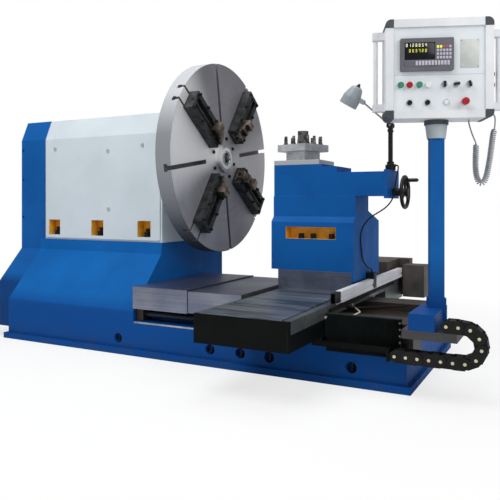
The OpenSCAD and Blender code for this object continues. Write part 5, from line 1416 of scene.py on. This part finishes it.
@dataclass
class ControlPanel:
    """The control panel: corner pieces, read-out, keys, bezels, plate and collar."""

    post: tuple[float, float] = (1.669, -0.59)
    yaw: float = 21.0
    left: float = -0.281
    right: float = 0.273
    bottom: float = 1.458
    top: float = 1.982
    front: float = -0.11
    face: float = -0.1
    back: float = 0.07
    row_1: float = 1.635
    row_2: float = 1.541
    row_1_x: tuple[float, ...] = (-0.202, -0.156, -0.105, -0.059, 0.023, 0.084, 0.151)
    row_2_x: tuple[float, ...] = (-0.156, -0.064, 0.033)
    bezel: Profile = ((0, 0.0178), (0.0022, 0.0178), (0.0032, 0.0168), (0.0032, 0.0166), (0.0001, 0.0165))
    knob: Profile = ((0, 0.0125), (0.014, 0.0125), (0.016, 0.0105), (0.016, 0))
    side_knob: Profile = ((0, 0.02), (0.006, 0.02), (0.007, 0.014), (0.024, 0.013), (0.026, 0.011),
                          (0.026, 0))
    side_knob_y: float = -0.02
    side_knob_z: tuple[float, ...] = (1.6417, 1.6995)
    signal: Profile = ((0, 0.0125), (0.01, 0.0125), (0.014, 0.009), (0.015, 0))
    divider_in: float = 0.044
    divider_thick: float = 0.0006
    divider_edge: float = 0.0002
    divider_z: tuple[float, float] = (1.687, 1.6885)
    plate_x: tuple[float, float] = (0.105, 0.2)
    plate_z: tuple[float, float] = (1.72, 1.87)
    plate_thick: float = 0.0016
    plate_edge: float = 0.0008
    plate_screw_x: tuple[float, ...] = (0.111, 0.194)
    plate_screw_z: tuple[float, ...] = (1.726, 1.864)
    plate_screw: Profile = ((0, 0.003), (0.001, 0.0026), (0.0012, 0))
    laid_in: float = 0.0002
    corner: float = 0.0445
    corner_r: float = 0.031
    corner_lap: float = 0.0012
    corner_proud: float = 0.002
    corner_steps: int = 8
    unit: tuple[float, float] = (-0.206, 1.706)
    unit_depth: float = 0.02
    glass_in: float = 0.0045
    glass_back: float = 0.0058
    glass_edge: float = 0.0004
    window_x: tuple[float, float] = (0.024, 0.178)
    window_z: tuple[float, float] = (0.06, 0.148)
    strip_in: float = 0.0004
    strip_edge: float = 0.0008
    strip_x: tuple[float, float] = (0.0225, 0.1795)
    strip_z: tuple[float, float] = (0.0225, 0.058)
    digit_h: float = 0.016
    digit_pitch: float = 0.0165
    digit_thick: float = 0.0012
    key: tuple[float, float] = (0.0118, 0.0138)
    key_from: tuple[float, float] = (0.187, 0.061)
    key_pitch: tuple[float, float] = (0.0158, 0.019)
    key_edge: float = 0.0012
    key_proud: float = 0.0018
    soft_proud: float = 0.0016
    soft_keys: int = 11
    soft_keys_on_strip: int = 6
    soft_from: float = 0.079
    soft_pitch: float = 0.0162
    soft_width: float = 0.0122
    soft_z: tuple[float, float] = (0.0285, 0.0525)
    collar_z: float = 1.3588
    collar_cone: Profile = ((0, 0.0484), (0.002, 0.0492), (0.073, 0.0584), (0.0748, 0.0576))

    @property
    def place(self) -> Matrix:
        """Gives the panel's own frame: the post's axis is its origin, and its front looks along -Y."""
        return Matrix.Translation((*self.post, 0)) @ Matrix.Rotation(math.radians(self.yaw), 4, "Z")

    def build(self) -> None:
        """Builds every piece of the panel."""
        self.corners()
        self.read_out()
        self.keypad()
        self.controls()
        self.plate()
        self.collar()

    def corners(self) -> None:
        """Puts rounded nylon corner pieces over the frame's mitres."""
        size, r, lap = self.corner, self.corner_r, self.corner_lap
        shape = Shape(self.place)
        for sx, x in ((-1, self.left), (1, self.right)):
            for sz, z in ((-1, self.bottom), (1, self.top)):
                x_out, z_out = x + sx * lap, z + sz * lap
                x_in, z_in = x_out - sx * size, z_out - sz * size
                points = [(x_in, z_out), (x_in, z_in), (x_out, z_in)]
                for k in range(self.corner_steps + 1):
                    a = math.pi / 2 * k / self.corner_steps
                    points.append((x_out - sx * r * (1 - math.cos(a)), z_out - sz * r * (1 - math.sin(a))))
                shape.outline(points, self.front - self.corner_proud, self.back + lap)
        shape.piece("panel_corner_pieces", DARK_NYLON, "panel", smooth=50)

    def digit(self, shape: Shape, x: float, z: float, y: float, value: int) -> None:
        """Adds one seven segment digit to a shape.

        Args:
            shape: the shape.
            x: the digit's left side.
            z: its foot.
            y: the glass that it lies on.
            value: 0 to 9.
        """
        height = self.digit_h
        w, t, mid = height * 0.5, height * 0.13, height / 2
        bars = {"a": (0, height - t, w, height), "g": (0, mid - t / 2, w, mid + t / 2), "d": (0, 0, w, t),
                "f": (0, mid, t, height), "b": (w - t, mid, w, height), "e": (0, 0, t, mid),
                "c": (w - t, 0, w, mid)}
        lit = ("abcdef", "bc", "abged", "abgcd", "fgbc", "afgcd", "afgedc", "abc", "abcdefg", "abcdfg")[value]
        for name in lit:
            a, b, c, d = bars[name]
            shape.block((x + a, y - self.digit_thick, z + b), (x + c, y, z + d), 0)

    def read_out(self) -> None:
        """Builds the read-out's window, its strip of soft keys and two rows of digits."""
        (x0, z0), y = self.unit, self.face - self.unit_depth
        glass, back = y + self.glass_in, y + self.glass_back
        (left, right), (low, high) = self.window_x, self.window_z
        window = Shape(self.place)
        window.block((x0 + left, glass, z0 + low), (x0 + right, back, z0 + high), self.glass_edge)
        window.piece("read_out_window", SCREEN, "panel")
        (left, right), (low, high) = self.strip_x, self.strip_z
        strip = Shape(self.place)
        strip.block((x0 + left, y + self.strip_in, z0 + low), (x0 + right, back, z0 + high), self.strip_edge)
        strip.piece("soft_key_strip", BEZEL, "panel")
        rows = (("read_out_digits_x", DIGIT_WHITE, 0.03, 0.128, (0, 1, 2, 8, 0, 5, 4)),
                ("read_out_digits_y", DIGIT_YELLOW, 0.046, 0.099, (0, 6, 3, 7, 2, 0)))
        for name, finish, left, row, values in rows:
            shape = Shape(self.place)
            for k, value in enumerate(values):
                self.digit(shape, x0 + left + self.digit_pitch * k, z0 + row, glass, value)
            shape.piece(name, finish, "panel")

    def keypad(self) -> None:
        """Builds the keys beside the window, with red and lit ones on top, and the soft keys below it."""
        (x0, z0), y = self.unit, self.face - self.unit_depth
        (wide, high), (right, up), (x_step, z_step) = self.key, self.key_from, self.key_pitch
        keys, reds, lamps = Shape(self.place), Shape(self.place), Shape(self.place)
        top_row = (lamps, lamps, reds, reds, keys)
        for i in range(5):
            for j in range(4):
                x, z = x0 + right + x_step * i, z0 + up + z_step * j
                shape = top_row[i] if j == 3 else keys
                shape.block((x, y - self.key_proud, z), (x + wide, y + self.laid_in, z + high), self.key_edge)
        low, top = self.soft_z
        for i in range(self.soft_keys):
            x = x0 + self.soft_from + self.soft_pitch * i
            back = y + (self.strip_in if i < self.soft_keys_on_strip else self.laid_in)
            front = y - self.soft_proud
            keys.block((x, front, z0 + low), (x + self.soft_width, back, z0 + top), self.key_edge)
        keys.piece("keypad", KEY_LILAC, "panel")
        reds.piece("keypad_red_keys", KEY_RED, "panel")
        lamps.piece("keypad_lamps", DIGIT_YELLOW, "panel")

    def controls(self) -> None:
        """Builds the bezels of both rows, the fixed knobs and the signal lamp."""
        rings, knobs = Shape(self.place), Shape(self.place)
        for row, places in ((self.row_1, self.row_1_x), (self.row_2, self.row_2_x)):
            for x in places:
                rings.turned((x, self.face + self.laid_in, row), FRONT, self.bezel, sides=28)
        rings.piece("button_bezels", ANODISED, "panel")
        *knob_x, lamp_x = self.row_2_x
        for x in knob_x:
            knobs.turned((x, self.face, self.row_2), FRONT, self.knob, sides=24)
        for z in self.side_knob_z:
            knobs.turned((self.right - SUNK, self.side_knob_y, z), RIGHT, self.side_knob, sides=24)
        knobs.piece("fixed_knobs", BLACK_PLASTIC, "panel")
        lamp = Shape(self.place).turned((lamp_x, self.face, self.row_2), FRONT, self.signal, sides=24)
        lamp.piece("signal_lamp", WHITE_BUTTON, "panel")

    def plate(self) -> None:
        """Builds the divider above the controls, and the bare plate with its screws."""
        back = self.face + self.laid_in
        (low, high), side = self.divider_z, self.divider_in
        divider = Shape(self.place)
        divider.block((self.left + side, self.face - self.divider_thick, low), (self.right - side, back, high),
                      self.divider_edge)
        divider.piece("face_divider", KEY_LILAC, "panel")
        (x0, x1), (z0, z1), front = self.plate_x, self.plate_z, self.face - self.plate_thick
        plate = Shape(self.place).block((x0, front, z0), (x1, back, z1), self.plate_edge)
        plate.piece("bare_plate", BARE_PLATE, "panel")
        screws = Shape(self.place)
        for x in self.plate_screw_x:
            for z in self.plate_screw_z:
                screws.turned((x, front, z), FRONT, self.plate_screw, sides=12)
        screws.piece("bare_plate_screws", CHROME, "panel")

    def collar(self) -> None:
        """Puts the light grey collar over the post's tapered head."""
        collar = Shape(self.place).turned((0, 0, self.collar_z), UP, self.collar_cone, sides=48)
        collar.piece("post_collar", COLLAR_GREY, "base")


@dataclass
class Cords:
    """The curly pendant cord under the panel and the lamp's lead. Routes repeat the CAD's, in millimetres."""

    out: Profile = (
        (166, 1458), (166, 1446), (169, 1430), (176, 1405), (185, 1378), (194, 1355), (200, 1341),
        (201.8, 1333.6), (201.99, 1328.3))
    coil: Profile = (
        (202, 1328), (203, 1300), (202, 1270), (201, 1240), (201, 1210), (203, 1180), (208, 1150), (217, 1128),
        (229, 1118), (242, 1123), (252, 1142), (260, 1170), (267, 1205), (273, 1240), (279, 1280), (284, 1320),
        (289, 1360), (294, 1390), (298, 1408))
    back: Profile = (
        (298.07, 1408.3), (299.2, 1413.4), (301, 1427), (302, 1445), (302, 1462), (300, 1473), (295, 1482),
        (288.5, 1489.5), (281, 1494), (273.4, 1494))
    lamp: tuple[Point, ...] = (
        (1313, -45.5, 1255), (1322, -45.5, 1255), (1330, -56, 1245), (1332, -76, 1217), (1329, -98, 1180),
        (1327, -114, 1140), (1325, -128, 1100), (1321, -140, 1060), (1309, -150, 1025), (1287, -156, 995),
        (1257, -158, 970), (1221, -156, 948), (1183, -150, 925), (1149, -142, 896), (1121, -132, 860),
        (1103, -120, 820), (1095, -106, 780), (1093, -92, 740), (1093, -78, 700), (1093, -64, 660),
        (1097, -46, 625), (1104, -20, 600), (1109, 10, 580), (1113, 40, 570), (1115, 62, 566), (1116, 76, 561),
        (1116, 80, 552), (1116, 80, 541.4))
    pendant_y: float = -20
    lead_d: float = 0.0075
    coil_r: float = 0.0125
    pitch: float = 0.0105
    lamp_d: float = 0.009
    lead_steps: int = 4
    coil_steps: int = 24
    per_turn: int = 14

    def build(self, panel: ControlPanel) -> None:
        """Builds both cords.

        Args:
            panel: the panel, for its frame.
        """
        self.pendant(panel)
        route = smooth_path([Vector(p) * MM for p in self.lamp], self.lead_steps)
        lead = cord_curve("lamp_lead", route, self.lamp_d, RUBBER_LEAD, "cross_slide")
        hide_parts("lamp_cord")

    def route(self, pairs: Profile, steps: int) -> list[Vector]:
        """Gives a smooth route in the panel's frame through pairs of X and Z."""
        return smooth_path([Vector((x, self.pendant_y, z)) * MM for x, z in pairs], steps)

    def wound(self, middle: Sequence[Vector]) -> list[Vector]:
        """Winds a helix round a path, which opens out in its first turn and closes in its last.

        Args:
            middle: the path.

        Returns:
            The points of the helix.
        """
        lengths = [0.0]
        for a, b in zip(middle, middle[1:]):
            lengths.append(lengths[-1] + (b - a).length)
        total, last = length_of(middle), len(middle) - 1
        turns = round(total / self.pitch)
        steps = turns * self.per_turn
        side, at, points = Vector((0, 1, 0)), 0, []
        for i in range(steps + 1):
            run = total * i / steps
            while at < last - 1 and lengths[at + 1] < run:
                at += 1
            share = (run - lengths[at]) / (lengths[at + 1] - lengths[at])
            here = middle[at].lerp(middle[at + 1], share)
            heading = (middle[min(at + 2, last)] - middle[max(at - 1, 0)]).normalized()
            other = heading.cross(side).normalized()
            angle = 2 * math.pi * turns * i / steps
            radius = self.coil_r * min(1.0, i / self.per_turn, (steps - i) / self.per_turn)
            points.append(here + (side * math.cos(angle) + other * math.sin(angle)) * radius)
        return points

    def pendant(self, panel: ControlPanel) -> None:
        """Winds the curly cord along its route, with a straight lead at each end.

        Args:
            panel: the panel, for its frame.
        """
        wound = self.wound(self.route(self.coil, self.coil_steps))
        path = self.route(self.out, self.lead_steps)[:-1] + wound + self.route(self.back, self.lead_steps)[1:]
        path = [panel.place @ p for p in path]
        cord = cord_curve("pendant_cord", path, self.lead_d, CORD_PVC, "panel")
        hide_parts("pendant_cord_coil", "pendant_cord_leads")


def dress_nodes() -> None:
    """Gives every CAD node its finish."""
    for finish, names in NODE_FINISH.items():
        for name in names:
            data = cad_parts[name].data
            data.materials.clear()
            data.materials.append(finish.material())
    bare = set(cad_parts) - {n for names in NODE_FINISH.values() for n in names}
    if bare:
        raise RuntimeError(f"nodes without a finish: {sorted(bare)}")


def main() -> None:
    """Builds the stage, the finishes and every sub-assembly."""
    logging.basicConfig(level=logging.INFO, format="%(name)s: %(message)s")
    Studio().build()
    panel = ControlPanel()
    Cords().build(panel)
    dress_nodes()
    Headstock().build()
    Faceplate().build()
    ToolRest().build()
    Lamp().build()
    Saddle().build()
    panel.build()


if __name__ == "__main__":
    main()
